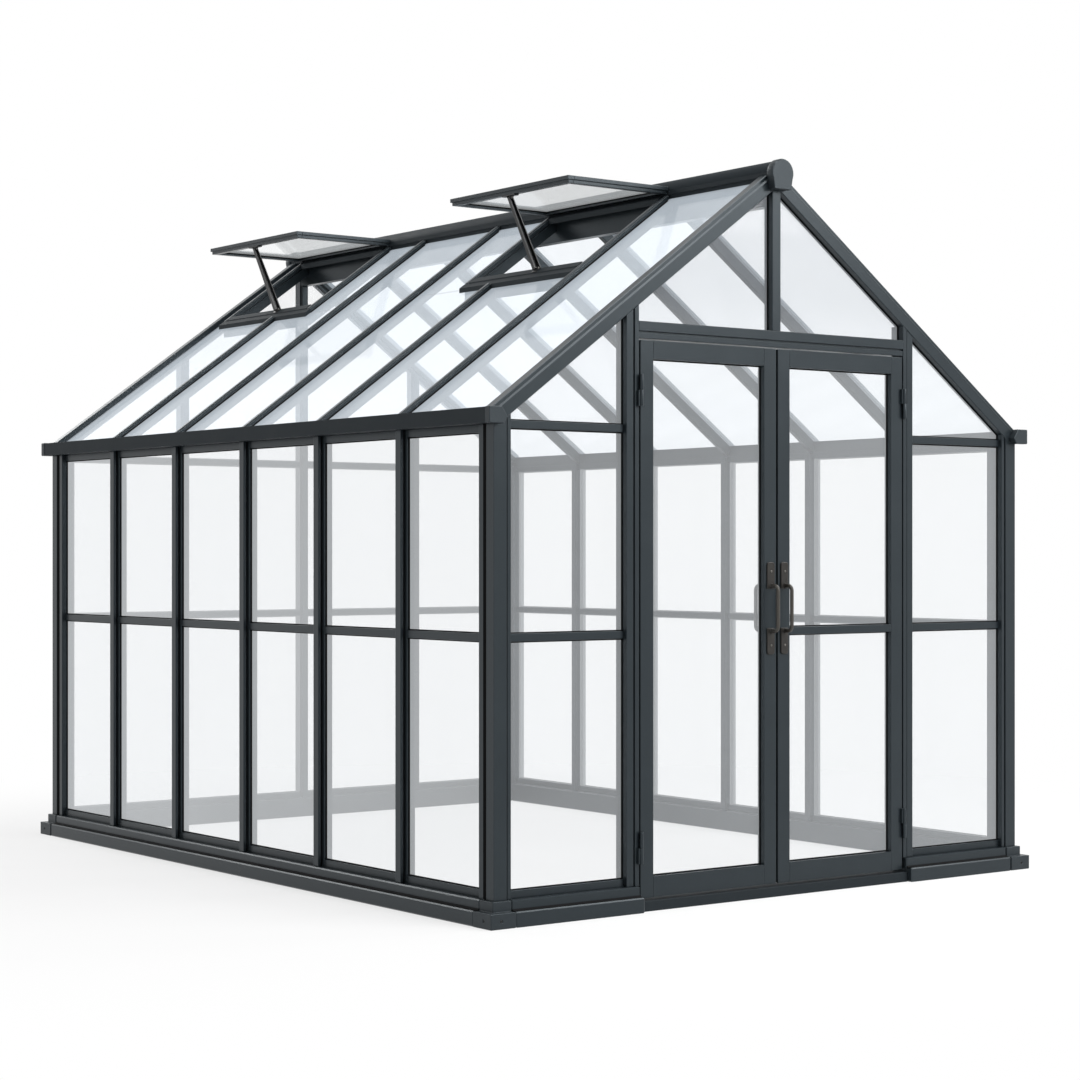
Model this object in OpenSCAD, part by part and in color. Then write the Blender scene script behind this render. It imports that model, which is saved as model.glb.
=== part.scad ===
// Glass greenhouse with a gabled roof, double doors and two open roof vents.
// Units are millimetres. X runs across the gable, the doors face -Y, Z is up.
// The origin is on the floor under the middle of the base.

/* [Building] */
// overall width of the base
base_w = 2650; // [2400:10:2900]
// spacing of the wall and roof bars
bay_pitch = 557; // [520:1:620]
// height of the underside of the gutter
eave_z = 1700; // [1640:5:1800]
// slope of the roof in degrees
roof_pitch = 35.8; // [33:0.2:38]

/* [Base] */
// height of the lower base step
plinth_h = 54; // [44:1:60]
// height of the upper base step
sill_h = 36; // [28:1:42]
// how far the base stands out from the wall face
base_proud = 40; // [32:1:48]
// set back of the upper base step
sill_set = 25; // [15:1:28]
// how far a corner casting stands out from the base rails
cast_proud = 1.5; // [1:0.5:3]
// diameter of the bolt holes in the corner castings
cast_hole = 9; // [6:0.5:12]
// distance of a bolt hole from the outer corner
cast_hole_in = 44; // [38:1:50]

/* [Wall frame] */
// depth of the wall bars from front to back
wall_depth = 64; // [56:1:72]
// width of the outer cap of a bar
cap_w = 34; // [28:1:40]
// thickness of the outer cap of a bar
cap_d = 13; // [9:0.5:15]
// width of the flange that holds the glass
stile_w = 58; // [50:1:64]
// width of the inner rib of a bar
inner_w = 30; // [24:1:36]
// height of a wall rail
rail_h = 27; // [24:1:32]
// height of the middle rails
mid_z = 975; // [900:5:1050]
// thickness of the glass
glass_t = 4; // [3:0.5:4.5]
// width of the corner post on the gable face
post_w = 55; // [48:1:60]
// width of the corner post on the side face
post_d = 45; // [40:1:50]

/* [Doors] */
// share of the base width that the doorway takes
door_share = 0.494; // [0.46:0.002:0.52]
// height between the door head and the rafter above its ends
head_drop = 56; // [48:1:66]
// width of a door stile
leaf_stile = 59; // [54:1:64]
// height of the top rail of a door
leaf_top_rail = 65; // [56:1:75]
// height of the bottom rail of a door
leaf_bottom_rail = 73; // [60:1:85]
// thickness of a door leaf
leaf_t = 36; // [34:0.5:38]
// width of a door post
door_post_w = 54; // [50:1:66]
// height of the door head
head_h = 60; // [54:1:62]
// height of the middle of the handles
handle_z = 1059; // [980:5:1120]
// length of a handle plate
handle_plate_h = 340; // [300:5:380]
// length of a handle grip
grip_h = 180; // [150:5:220]
// reach of a handle grip from the plate
grip_out = 44; // [40:1:60]
// length of a hinge
hinge_h = 112; // [90:2:130]

/* [Roof] */
// depth of a gable rafter across the slope
raft_d = 55; // [50:1:58]
// width of a gable rafter
raft_w = 48; // [44:1:54]
// depth of a roof bar under the glass
bar_d = 40; // [32:1:46]
// half width of the ridge capping
ridge_cap_hw = 45; // [42:1:48]
// width of a roof vent along the ridge
vent_w = 741; // [700:1:760]
// length of a vent sash from the ridge
sash_l = 490; // [480:5:530]
// horizontal distance of the vent bottom rail from the ridge
vent_x = 440; // [425:5:455]

/* [Hidden] */
$fn = 48;

// colours of the two metals and the glass
frame_tone = [0.28, 0.30, 0.31];
fitting_tone = [0.20, 0.17, 0.15];
glass_tone = [0.80, 0.88, 0.90, 0.35];

// number of bays along a side wall
bays = 6;
// half sizes of the wall box
wall_hw = base_w / 2 - base_proud;
wall_hl = (bays * bay_pitch + post_w) / 2;
// top of the base
sill_z = plinth_h + sill_h;
// distance from the wall face to the outer face of the glass
glass_d = 30;
// width of the groove that takes the glass edge
slot_w = glass_t + 1;
// inner face of the glass groove
slot_d = glass_d + slot_w;
// depth of the recess under a bar cap
neck_d = cap_d + 6;
neck_w = cap_w - 14;
// width of the web between the glass edges
web_w = 24;
// clearance between a glass edge and the web
edge_gap = 2;
// half width of the glass cut back at a bar
glass_cut = web_w / 2 + edge_gap;
// rails: outer face, web height and inner depth
rail_d = neck_d;
rail_web = rail_h - 16;
rail_in = slot_d + 14;
// corner post grooves and strips
post_line = 4;
post_strip = 15;
side_groove = 19;
side_strip = 28;
strip_set = 3;
groove_set = 10;
post_front = post_w + post_line + post_strip;
post_side = post_d + side_groove + side_strip;
slot_in = 10;

// roof
roof_tan = tan(roof_pitch);
roof_cos = cos(roof_pitch);
// height of the roof line above the gutter underside at the wall face
eave_rise = 49;
apex_z = eave_z + eave_rise + wall_hw * roof_tan;
cap_n = 14;
roof_slot = glass_t + 2;
glass_n = -cap_n - roof_slot;
// play under seated pieces
seat_gap = 0.2;
glass_bed_n = glass_n + seat_gap;
glass_top_n = glass_bed_n + glass_t;
bar_flange_w = 26;
bar_web_w = 14;
ridge_hw = 20;
ridge_drop = 135;
eave_in = wall_hw - 36;
eave_over = 5;
ridge_seat_n = glass_top_n + 0.5;
raft_up = 7;
raft_ledge = 14;
raft_ledge_h = 20;
raft_split = 0.5;
// foot of the gable rafters, where their underside meets the gutter level
raft_foot = wall_hw - (raft_d / roof_cos - eave_rise) / roof_tan;
// top strip of a gable rafter and how far it is set back from the face below
raft_strip = 9;
raft_set = 7;
// raised rib on a roof bar
bar_rib_w = 18;
bar_rib_up = 4;
bar_top = ridge_cap_hw - 3;
// ridge capping: round top, straight lip and narrow neck
capping_z = apex_z - 14;
capping_neck = ridge_cap_hw - 7;
capping_low = apex_z - bar_top * roof_tan + seat_gap;
endcap_t = 34;
endcap_rim = 7;
endcap_drop = 3;
endcap_h = 63;
endcap_waist = 4;
endcap_tuck = 1;

// gutter
gutter_w = 38;
gutter_h = 54;
gutter_t = 3;
bracket_wrap = 26;
bracket_out = 30;
bracket_proud = 2;
bracket_foot = 22;
bracket_nose = 38;
bracket_top = 14;
gutter_in_h = 19;

// overshoot of the cutters and overlap of joined layers
cut_over = 300;
join = 1;

// base pieces
threshold_proud = 18;
cast_hole_depth = 15;
// open joint between a base rail and a casting
base_joint = 2;

// doors
door_half = base_w * door_share / 2;
head_top = apex_z - door_half * roof_tan - raft_d / roof_cos - head_drop;
leaf_bottom = 46;
leaf_gap = 9;
hinge_gap = 6;
leaf_in = leaf_gap / 2;
leaf_out = door_half - hinge_gap;
leaf_glass_d = 24;
leaf_slot_d = leaf_glass_d + slot_w;
leaf_slot_in = 9;
head_gap = 6;
head_z = head_top - head_h;
leaf_top = head_z - head_gap;
head_strip = 34;
head_groove = 7;
head_groove_d = 8;
head_set = 2;
door_post_strip = 31;
head_d = 56;
king_w = 40;
threshold_h = 36;
base_end_gap = 5;
base_end = door_half + base_end_gap;
pin_out = 10;
pin_x = door_half - hinge_gap / 2;
pin_r = 3.5;
pin_play = 0.06;
knuckle_r = 7;
hinge_in = 178;
hinge_zs = [leaf_bottom + hinge_in, leaf_top - hinge_in];
hinge_block = 10;
hinge_play = 0.5;
pin_short = 8;
bore_roof = 4;
plate_w = 36;
plate_t = 6;
plate_round = 10;
plate_cut = 9;
grip_r = 7;
grip_bend = 18;
handle_x = leaf_in + leaf_stile / 2;

// vents
curb_n = 4;
curb_rail_w = 26;
curb_top_w = 22;
flash_w = 24;
sash_w = 30;
sash_t = 28;
sash_slot_in = 10;
// step under the outer edge of a sash
sash_step = 6;
sash_step_h = 13;
back_vent_in = 115;
back_vent_end = wall_hl - back_vent_in;
vent_ys = [[-2 * bay_pitch, -2 * bay_pitch + vent_w], [back_vent_end - vent_w, back_vent_end]];
vent_end = vent_x + curb_rail_w;
sash_z = apex_z - ridge_cap_hw * roof_tan + curb_n / roof_cos + 0.5;
stay_r = 5;
sleeve_r = 7;
sleeve_share = 0.7;
stay_foot = 0.39;
stay_pad = 26;
stay_pad_t = 12;

// height of the roof line with an offset n square to the slope
function zr(x, n) = apex_z - abs(x) * roof_tan + n / roof_cos;
// outline of one layer of a slope between two distances from the ridge
function slope_pts(sg, a, b, n0, n1) =
  [[sg * a, zr(a, n0)], [sg * b, zr(b, n0)], [sg * b, zr(b, n1)], [sg * a, zr(a, n1)]];
// position of a bar along the house
function bar_y(i) = (i - bays / 2) * bay_pitch;
// outline of a stepped section given as depth from, depth to, half width
function stepped(s) = concat(
  [for (i = [0:len(s) - 1]) each [[s[i][0], s[i][2]], [s[i][1], s[i][2]]]],
  [for (i = [len(s) - 1:-1:0]) each [[s[i][1], -s[i][2]], [s[i][0], -s[i][2]]]]);

// section of a wall bar
bar_steps = [[0, cap_d, cap_w / 2], [cap_d, neck_d, neck_w / 2], [neck_d, glass_d, stile_w / 2],
  [glass_d, slot_d, web_w / 2], [slot_d, wall_depth, inner_w / 2]];

module both_x() {
  children();
  mirror([1, 0, 0]) children();
}

module both_y() {
  children();
  mirror([0, 1, 0]) children();
}

// extrude an X Z outline along Y
module slab_y(pts, y0, y1) {
  translate([0, y1, 0]) rotate([90, 0, 0]) linear_extrude(height = y1 - y0) polygon(pts);
}

// place wall coordinates (depth, along, height) on the left wall
module left_wall() {
  translate([-wall_hw, 0, 0]) children();
}

// place wall coordinates on the front wall, along runs to -X
module front_wall() {
  translate([0, -wall_hl, 0]) rotate([0, 0, 90]) children();
}

// base section, depth from the wall face and height
module base_section(len, out) {
  rotate([90, 0, 0]) linear_extrude(height = len)
    polygon([[-out, 0], [-out, plinth_h], [sill_set - out, plinth_h],
      [sill_set - out, sill_z], [wall_depth, sill_z], [wall_depth, 0]]);
}

module side_base_rails() {
  color(frame_tone)
    both_x() left_wall()
      translate([0, wall_hl - wall_depth - base_joint, 0])
        base_section(2 * (wall_hl - wall_depth - base_joint), base_proud - cast_proud);
}

module end_base_rails() {
  color(frame_tone) {
    mirror([0, 1, 0]) front_wall()
      translate([0, wall_hw - wall_depth - base_joint, 0])
        base_section(2 * (wall_hw - wall_depth - base_joint), base_proud - cast_proud);
    both_x() front_wall()
      translate([0, wall_hw - wall_depth - base_joint, 0])
        base_section(wall_hw - wall_depth - base_joint - base_end, base_proud - cast_proud);
  }
}

module door_threshold() {
  color(frame_tone)
    translate([-base_end, -wall_hl - threshold_proud, 0])
      cube([2 * base_end, wall_depth + threshold_proud, threshold_h]);
}

module base_corner_castings() {
  color(frame_tone)
    both_x() both_y()
      difference() {
        union() {
          translate([-wall_hw - base_proud, -wall_hl - base_proud, 0])
            cube([base_proud + wall_depth, base_proud + wall_depth, plinth_h]);
          translate([-wall_hw - base_proud + sill_set, -wall_hl - base_proud + sill_set, plinth_h - join])
            cube([base_proud + wall_depth - sill_set, base_proud + wall_depth - sill_set, sill_h + join]);
        }
        translate([-wall_hw - base_proud - join, -wall_hl - base_proud + cast_hole_in, plinth_h / 2])
          rotate([0, 90, 0]) cylinder(h = cast_hole_depth + join, d = cast_hole);
        translate([-wall_hw - base_proud + cast_hole_in, -wall_hl - base_proud - join, plinth_h / 2])
          rotate([-90, 0, 0]) cylinder(h = cast_hole_depth + join, d = cast_hole);
      }
}

// plan of a corner post, both axes run inward from the wall faces
module corner_plan() {
  polygon([[0, 0], [post_w, 0], [post_w, groove_set], [post_w + post_line, groove_set],
    [post_w + post_line, strip_set], [post_front, strip_set], [post_front, glass_d],
    [post_front - slot_in, glass_d], [post_front - slot_in, slot_d], [post_front, slot_d],
    [post_front, wall_depth], [wall_depth, wall_depth], [wall_depth, post_side],
    [slot_d, post_side], [slot_d, post_side - slot_in], [glass_d, post_side - slot_in],
    [glass_d, post_side], [strip_set, post_side], [strip_set, post_d + side_groove],
    [groove_set, post_d + side_groove], [groove_set, post_d], [0, post_d]]);
}

// all that lies above the underside of the gable rafters
module above_rafters(y0, y1) {
  slab_y([[-wall_hw - cut_over, eave_z], [-raft_foot, eave_z], [0, zr(0, -raft_d)], [raft_foot, eave_z],
    [wall_hw + cut_over, eave_z], [wall_hw + cut_over, apex_z + cut_over],
    [-wall_hw - cut_over, apex_z + cut_over]], y0, y1);
}

module corner_posts() {
  color(frame_tone)
    both_x() both_y()
      difference() {
        translate([-wall_hw, -wall_hl, sill_z])
          linear_extrude(height = eave_z + post_front - sill_z) corner_plan();
        above_rafters(-wall_hl - join, -wall_hl + raft_w);
        translate([-wall_hw - join, -wall_hl + raft_w, eave_z])
          cube([cut_over, cut_over, cut_over]);
      }
}

module side_wall_bars() {
  color(frame_tone)
    both_x() left_wall()
      for (i = [1:bays - 1])
        translate([0, bar_y(i), sill_z])
          linear_extrude(height = eave_z - sill_z) polygon(stepped(bar_steps));
}

// one rail in wall coordinates: outer part from a to b, inner part from ia to ib
module wall_rail(a, b, ia, ib, zc) {
  translate([0, b, zc]) rotate([90, 0, 0]) linear_extrude(height = b - a)
    polygon(stepped([[rail_d, glass_d, rail_h / 2], [glass_d, slot_d, rail_web / 2]]));
  translate([slot_d - 0.001, ia, zc - rail_h / 2])
    cube([rail_in - slot_d, ib - ia, rail_h]);
}

rail_zs = [sill_z + rail_h / 2, mid_z, eave_z - rail_h / 2];

// ends of the outer parts of the rails in bay i along a side wall
function bay_a(i) = i == 0 ? -wall_hl + post_side : bar_y(i) + stile_w / 2;
function bay_b(i) = -bay_a(bays - 1 - i);
function bay_ia(i) = i == 0 ? -wall_hl + post_side : bar_y(i) + inner_w / 2;
function bay_ib(i) = -bay_ia(bays - 1 - i);
// ends of the glass in bay i along a side wall
function pane_a(i) = i == 0 ? -wall_hl + post_side - slot_in + edge_gap : bar_y(i) + glass_cut;
function pane_b(i) = -pane_a(bays - 1 - i);

module side_wall_rails() {
  color(frame_tone)
    both_x() left_wall()
      for (i = [0:bays - 1])
        for (z = rail_zs)
          wall_rail(bay_a(i), bay_b(i), bay_ia(i), bay_ib(i), z);
}

// one pane in wall coordinates
module pane(a, b, z0, z1) {
  translate([glass_d, a, z0]) cube([glass_t, b - a, z1 - z0]);
}

pane_zs = [[rail_zs[0] + rail_web / 2 + edge_gap, mid_z - rail_web / 2 - edge_gap],
  [mid_z + rail_web / 2 + edge_gap, rail_zs[2] - rail_web / 2 - edge_gap]];

module side_wall_glass() {
  color(glass_tone)
    both_x() left_wall()
      for (i = [0:bays - 1])
        for (p = pane_zs)
          pane(pane_a(i), pane_b(i), p[0], p[1]);
}

// back gable bars stand at the quarter points
back_xs = [-wall_hw / 2, 0, wall_hw / 2];

module back_wall_bars() {
  color(frame_tone)
    difference() {
      mirror([0, 1, 0]) front_wall()
        for (x = back_xs)
          translate([0, x, sill_z])
            linear_extrude(height = apex_z - sill_z) polygon(stepped(bar_steps));
      above_rafters(wall_hl - wall_depth - join, wall_hl + join);
      translate([-ridge_hw - seat_gap, wall_hl - cut_over, apex_z - ridge_drop - seat_gap])
        cube([2 * (ridge_hw + seat_gap), cut_over - raft_w, cut_over]);
    }
}

// ends of the rails between the back bars
back_ends = [[-wall_hw + post_front, back_xs[0] - stile_w / 2, -wall_hw + post_front, back_xs[0] - inner_w / 2],
  [back_xs[0] + stile_w / 2, -stile_w / 2, back_xs[0] + inner_w / 2, -inner_w / 2]];

module back_wall_rails() {
  color(frame_tone)
    both_x() mirror([0, 1, 0]) mirror([1, 0, 0]) front_wall()
      for (e = back_ends)
        for (z = rail_zs)
          wall_rail(e[0], e[1], e[2], e[3], z);
}

// half outlines of the back gable panes above the eave rail
eave_glass_z = rail_zs[2] + rail_web / 2 + edge_gap;

function gable_top(x) = zr(x, -raft_d - edge_gap);

// gable pane between two X values, lower edge at z0
module gable_pane(x0, x1, z0) {
  slab_y([[x0, z0], [x1, z0], [x1, gable_top(x1)], [x0, gable_top(x0)]],
    -wall_hl + glass_d, -wall_hl + glass_d + glass_t);
}

module back_wall_glass() {
  color(glass_tone) mirror([0, 1, 0]) both_x() {
    for (e = [[-wall_hw + post_front - slot_in + edge_gap, back_xs[0] - glass_cut],
        [back_xs[0] + glass_cut, -glass_cut]]) {
      for (p = pane_zs)
        translate([e[0], -wall_hl + glass_d, p[0]]) cube([e[1] - e[0], glass_t, p[1] - p[0]]);
    }
    gable_pane(-wall_hw + post_front - slot_in + edge_gap, back_xs[0] - glass_cut, eave_glass_z);
    gable_pane(back_xs[0] + glass_cut, -glass_cut, eave_glass_z);
  }
}

// front wall: side lights between the corner posts and the door posts
light_a = door_half + door_post_w;
light_b = wall_hw - post_front;
light_zs = [rail_zs[0], mid_z, eave_z];
light_pane_zs = [pane_zs[0], [pane_zs[1][0], eave_z - rail_web / 2 - edge_gap]];

module front_wall_rails() {
  color(frame_tone)
    both_x() front_wall()
      for (z = light_zs)
        wall_rail(light_a, light_b, light_a, light_b, z);
}

module front_wall_glass() {
  color(glass_tone) both_x() {
    for (p = light_pane_zs)
      translate([-light_b - slot_in + edge_gap, -wall_hl + glass_d, p[0]])
        cube([light_b - light_a + 2 * (slot_in - edge_gap), glass_t, p[1] - p[0]]);
    gable_pane(-light_b - slot_in + edge_gap, -light_a + slot_in - edge_gap, eave_z + rail_web / 2 + edge_gap);
    gable_pane(-door_half + edge_gap, -king_w / 2 - edge_gap, head_top);
  }
}

// plan of a door post, depth and distance from the doorway edge
module door_posts() {
  color(frame_tone)
    both_x()
      difference() {
        translate([-door_half, -wall_hl, sill_z])
          linear_extrude(height = apex_z - sill_z)
            polygon([[0, 0], [0, wall_depth], [-door_post_w, wall_depth], [-door_post_w, slot_d],
              [slot_in - door_post_w, slot_d], [slot_in - door_post_w, glass_d],
              [-door_post_w, glass_d], [-door_post_w, strip_set], [door_post_strip - door_post_w, strip_set],
              [door_post_strip - door_post_w, groove_set],
              [door_post_strip + post_line - door_post_w, groove_set],
              [door_post_strip + post_line - door_post_w, 0]]);
        above_rafters(-wall_hl - join, -wall_hl + wall_depth + join);
      }
}

module door_head() {
  color(frame_tone)
    translate([-door_half, 0, 0]) rotate([90, 0, 90])
      linear_extrude(height = 2 * door_half)
        polygon([[-wall_hl, head_top], [-wall_hl, head_top - head_strip],
          [-wall_hl + head_groove_d, head_top - head_strip],
          [-wall_hl + head_groove_d, head_top - head_strip - head_groove],
          [-wall_hl + head_set, head_top - head_strip - head_groove], [-wall_hl + head_set, head_z],
          [-wall_hl + head_d, head_z], [-wall_hl + head_d, head_top]]);
}

module front_king_post() {
  color(frame_tone)
    difference() {
      translate([-king_w / 2, -wall_hl + head_set, head_top])
        cube([king_w, raft_w - head_set, apex_z - head_top]);
      above_rafters(-wall_hl - join, -wall_hl + wall_depth + join);
    }
}

module eave_gutters() {
  color(frame_tone)
    both_x()
      slab_y([[-wall_hw - gutter_w, eave_z], [-wall_hw, eave_z], [-wall_hw, eave_z + gutter_in_h],
        [-wall_hw - gutter_t, eave_z + gutter_in_h], [-wall_hw - gutter_t, eave_z + gutter_t],
        [gutter_t - wall_hw - gutter_w, eave_z + gutter_t],
        [gutter_t - wall_hw - gutter_w, eave_z + gutter_h], [-wall_hw - gutter_w, eave_z + gutter_h]],
        -wall_hl - bracket_out + bracket_wrap, wall_hl + bracket_out - bracket_wrap);
}

module eave_beams() {
  color(frame_tone)
    both_x()
      slab_y([[-wall_hw, eave_z], [-eave_in, eave_z], [-eave_in, zr(eave_in, glass_n)],
        [-wall_hw, zr(wall_hw, glass_n)]], -wall_hl + raft_w, wall_hl - raft_w);
}

module eave_corner_brackets() {
  low = eave_z - bracket_proud;
  high = eave_z + gutter_h + bracket_proud;
  left = -wall_hw - gutter_w - bracket_proud;
  face = [[-wall_hw + bracket_foot, low], [-wall_hw + bracket_nose, low + bracket_foot],
    [-wall_hw + bracket_top, high]];
  color(frame_tone)
    both_x() both_y()
      union() {
        slab_y(concat([[left, low]], face, [[left, high]]),
          -wall_hl - bracket_out, -wall_hl - bracket_out + bracket_wrap);
        slab_y(concat([[-wall_hw, low]], face, [[-wall_hw, high]]),
          -wall_hl - bracket_out + bracket_wrap - join, -wall_hl);
      }
}

module gable_rafters() {
  color(frame_tone)
    for (side = [-1, 1])
      both_y() {
        slab_y([[side * raft_split, zr(raft_split, -raft_d)], [side * raft_foot, eave_z],
          [side * wall_hw, eave_z], [side * wall_hw, zr(wall_hw, raft_up)],
          [side * raft_split, zr(raft_split, raft_up)]], -wall_hl + raft_set, -wall_hl + raft_w);
        slab_y([[side * raft_split, zr(raft_split, -raft_d)], [side * raft_foot, eave_z],
          [side * wall_hw, eave_z], [side * wall_hw, zr(wall_hw, -raft_strip)],
          [side * raft_split, zr(raft_split, -raft_strip)]], -wall_hl, -wall_hl + raft_set + join);
        slab_y(slope_pts(side, ridge_hw, eave_in, glass_n - raft_ledge_h, glass_n),
          -wall_hl + raft_w - join, -wall_hl + raft_w + raft_ledge);
      }
}

// one roof bar on the left slope, from a at the top to the eave
module roof_bar(y, a_cap, a_rib, b_cap, b_rib) {
  slab_y(slope_pts(-1, a_cap, b_cap, -cap_n, 0), y - cap_w / 2, y + cap_w / 2);
  slab_y(slope_pts(-1, max(a_cap, ridge_cap_hw + edge_gap), b_cap, -join, bar_rib_up),
    y - bar_rib_w / 2, y + bar_rib_w / 2);
  slab_y(slope_pts(-1, a_cap, b_cap, glass_n, join - cap_n), y - bar_web_w / 2, y + bar_web_w / 2);
  slab_y(slope_pts(-1, a_cap, b_rib, glass_n - join, glass_n + join), y - bar_web_w / 2, y + bar_web_w / 2);
  slab_y(slope_pts(-1, a_rib, b_rib, glass_n - bar_d, glass_n), y - bar_flange_w / 2, y + bar_flange_w / 2);
}

module full_bar(y) {
  roof_bar(y, bar_top, ridge_hw, wall_hw + eave_over, eave_in);
}

module lower_bar(y) {
  roof_bar(y, vent_end + flash_w, vent_end, wall_hw + eave_over, eave_in);
}

module trimmer_bar(y) {
  roof_bar(y, bar_top, ridge_hw, vent_end, vent_end);
}

module left_roof_bars() {
  color(frame_tone) {
    for (i = [1, 3, 4]) full_bar(bar_y(i));
    for (i = [2, 5]) lower_bar(bar_y(i));
    trimmer_bar(vent_ys[0][1]);
    for (y = vent_ys[1]) trimmer_bar(y);
  }
}

module right_roof_bars() {
  color(frame_tone)
    mirror([1, 0, 0])
      for (i = [1:bays - 1]) full_bar(bar_y(i));
}

module ridge_beam() {
  color(frame_tone)
    slab_y([[-ridge_hw, zr(ridge_hw, ridge_seat_n - seat_gap)], [0, zr(0, ridge_seat_n - seat_gap)],
      [ridge_hw, zr(ridge_hw, ridge_seat_n - seat_gap)], [ridge_hw, apex_z - ridge_drop],
      [-ridge_hw, apex_z - ridge_drop]], -wall_hl + raft_w, wall_hl - raft_w);
}

module ridge_capping() {
  color(frame_tone)
    difference() {
      union() {
        slab_y([[-ridge_cap_hw, capping_low], [-capping_neck, capping_low],
          [-capping_neck, zr(capping_neck, ridge_seat_n)], [0, zr(0, ridge_seat_n)],
          [capping_neck, zr(capping_neck, ridge_seat_n)], [capping_neck, capping_low],
          [ridge_cap_hw, capping_low], [ridge_cap_hw, capping_z], [-ridge_cap_hw, capping_z]],
          -wall_hl, wall_hl);
        difference() {
          translate([0, wall_hl, capping_z]) rotate([90, 0, 0]) cylinder(h = 2 * wall_hl, r = ridge_cap_hw);
          translate([-cut_over / 2, -wall_hl - join, capping_z - join - cut_over])
            cube([cut_over, 2 * (wall_hl + join), cut_over]);
        }
      }
      for (y0 = [-wall_hl - join, wall_hl - raft_w])
        slab_y([[-cut_over, zr(cut_over, raft_up)], [0, zr(0, raft_up)], [cut_over, zr(cut_over, raft_up)],
          [cut_over, apex_z - cut_over], [-cut_over, apex_z - cut_over]], y0, y0 + raft_w + join);
    }
}

module ridge_end_caps() {
  color(frame_tone)
    both_y()
      translate([0, -wall_hl, 0]) rotate([90, 0, 0]) linear_extrude(height = endcap_t)
        union() {
          translate([0, capping_z - endcap_drop]) circle(r = ridge_cap_hw + endcap_rim);
          polygon([[endcap_tuck - ridge_cap_hw - endcap_rim, capping_z - 2 * endcap_drop],
            [ridge_cap_hw + endcap_rim - endcap_tuck, capping_z - 2 * endcap_drop],
            [ridge_cap_hw - endcap_waist, capping_z - endcap_h],
            [endcap_waist - ridge_cap_hw, capping_z - endcap_h]]);
        }
}

// one roof pane on the left slope
module roof_pane(y0, y1, a, b) {
  slab_y(slope_pts(-1, a, b, glass_bed_n, glass_top_n), y0, y1);
}

// edge of the roof glass beside a bar, and beside a gable rafter
roof_cut = bar_web_w / 2 + edge_gap;
end_cut = raft_w - post_w / 2 + edge_gap;
pane_top = ridge_hw + edge_gap;
pane_end = wall_hw + eave_over;

module right_roof_glass() {
  color(glass_tone)
    mirror([1, 0, 0])
      for (i = [0:bays - 1])
        roof_pane(bar_y(i) + (i == 0 ? end_cut : roof_cut),
          bar_y(i + 1) - (i == bays - 1 ? end_cut : roof_cut), pane_top, pane_end);
}

module left_roof_glass() {
  color(glass_tone) {
    roof_pane(bar_y(0) + end_cut, bar_y(1) - roof_cut, pane_top, pane_end);
    roof_pane(bar_y(1) + roof_cut, bar_y(2) - roof_cut, vent_end, pane_end);
    roof_pane(bar_y(2) + roof_cut, bar_y(3) - roof_cut, vent_end, pane_end);
    roof_pane(vent_ys[0][1] + roof_cut, bar_y(3) - roof_cut, pane_top, vent_end - edge_gap);
    roof_pane(bar_y(3) + roof_cut, bar_y(4) - roof_cut, pane_top, pane_end);
    roof_pane(bar_y(4) + roof_cut, bar_y(5) - roof_cut, vent_end, pane_end);
    roof_pane(bar_y(4) + roof_cut, vent_ys[1][0] - roof_cut, pane_top, vent_end - edge_gap);
    roof_pane(bar_y(5) + roof_cut, bar_y(6) - end_cut, vent_end, pane_end);
    roof_pane(vent_ys[1][1] + roof_cut, bar_y(6) - end_cut, pane_top, vent_end - edge_gap);
  }
}

// curb edges of a vent between the faces of its side bars
function vent_a(v) = v[0] + cap_w / 2;
function vent_b(v) = v[1] - cap_w / 2;

module vent_curb_rails() {
  color(frame_tone)
    for (v = vent_ys) {
      slab_y(slope_pts(-1, vent_x, vent_end, glass_n - bar_d, curb_n), vent_a(v), vent_b(v));
      slab_y(slope_pts(-1, vent_end - join, vent_end + flash_w, ridge_seat_n, 0), vent_a(v), vent_b(v));
      slab_y(slope_pts(-1, vent_end + seat_gap, vent_end + flash_w, ridge_seat_n, 0),
        (v == vent_ys[0] ? vent_a(v) : v[0] - cap_w / 2), v[1] + cap_w / 2);
      slab_y(slope_pts(-1, ridge_cap_hw, ridge_cap_hw + curb_top_w, -cap_n, curb_n), vent_a(v), vent_b(v));
    }
}

sash_x0 = ridge_cap_hw;
sash_x1 = ridge_cap_hw + sash_l;
sash_mid = sash_z + sash_t / 2;
sash_slot = glass_t + 1;

module sash_slot_cut(v) {
  edge = sash_w - sash_slot_in;
  translate([-sash_x1 + edge, v[0] - cap_w / 2 + edge, sash_mid - glass_t / 2])
    cube([sash_l - 2 * edge, v[1] - v[0] + cap_w - 2 * edge, sash_slot]);
}

// what lies outside the stepped lower edge of a sash
module sash_step_cut(v) {
  y0 = v[0] - cap_w / 2;
  y1 = v[1] + cap_w / 2;
  difference() {
    translate([-sash_x1 - join, y0 - join, sash_z - join])
      cube([sash_l + 2 * join, y1 - y0 + 2 * join, sash_step_h + join]);
    translate([-sash_x1 + sash_step, y0 + sash_step, sash_z - 2 * join])
      cube([sash_l, y1 - y0 - 2 * sash_step, sash_step_h + 4 * join]);
  }
}

module vent_sash_stiles() {
  color(frame_tone)
    for (v = vent_ys)
      difference() {
        for (y = [v[0] - cap_w / 2, v[1] + cap_w / 2 - sash_w])
          translate([-sash_x1 + sash_w, y, sash_z]) cube([sash_l - 2 * sash_w, sash_w, sash_t]);
        sash_slot_cut(v);
        sash_step_cut(v);
      }
}

module vent_sash_rails() {
  color(frame_tone)
    for (v = vent_ys)
      difference() {
        for (x = [-sash_x1, -sash_x0 - sash_w])
          translate([x, v[0] - cap_w / 2, sash_z]) cube([sash_w, v[1] - v[0] + cap_w, sash_t]);
        sash_slot_cut(v);
        sash_step_cut(v);
      }
}

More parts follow.
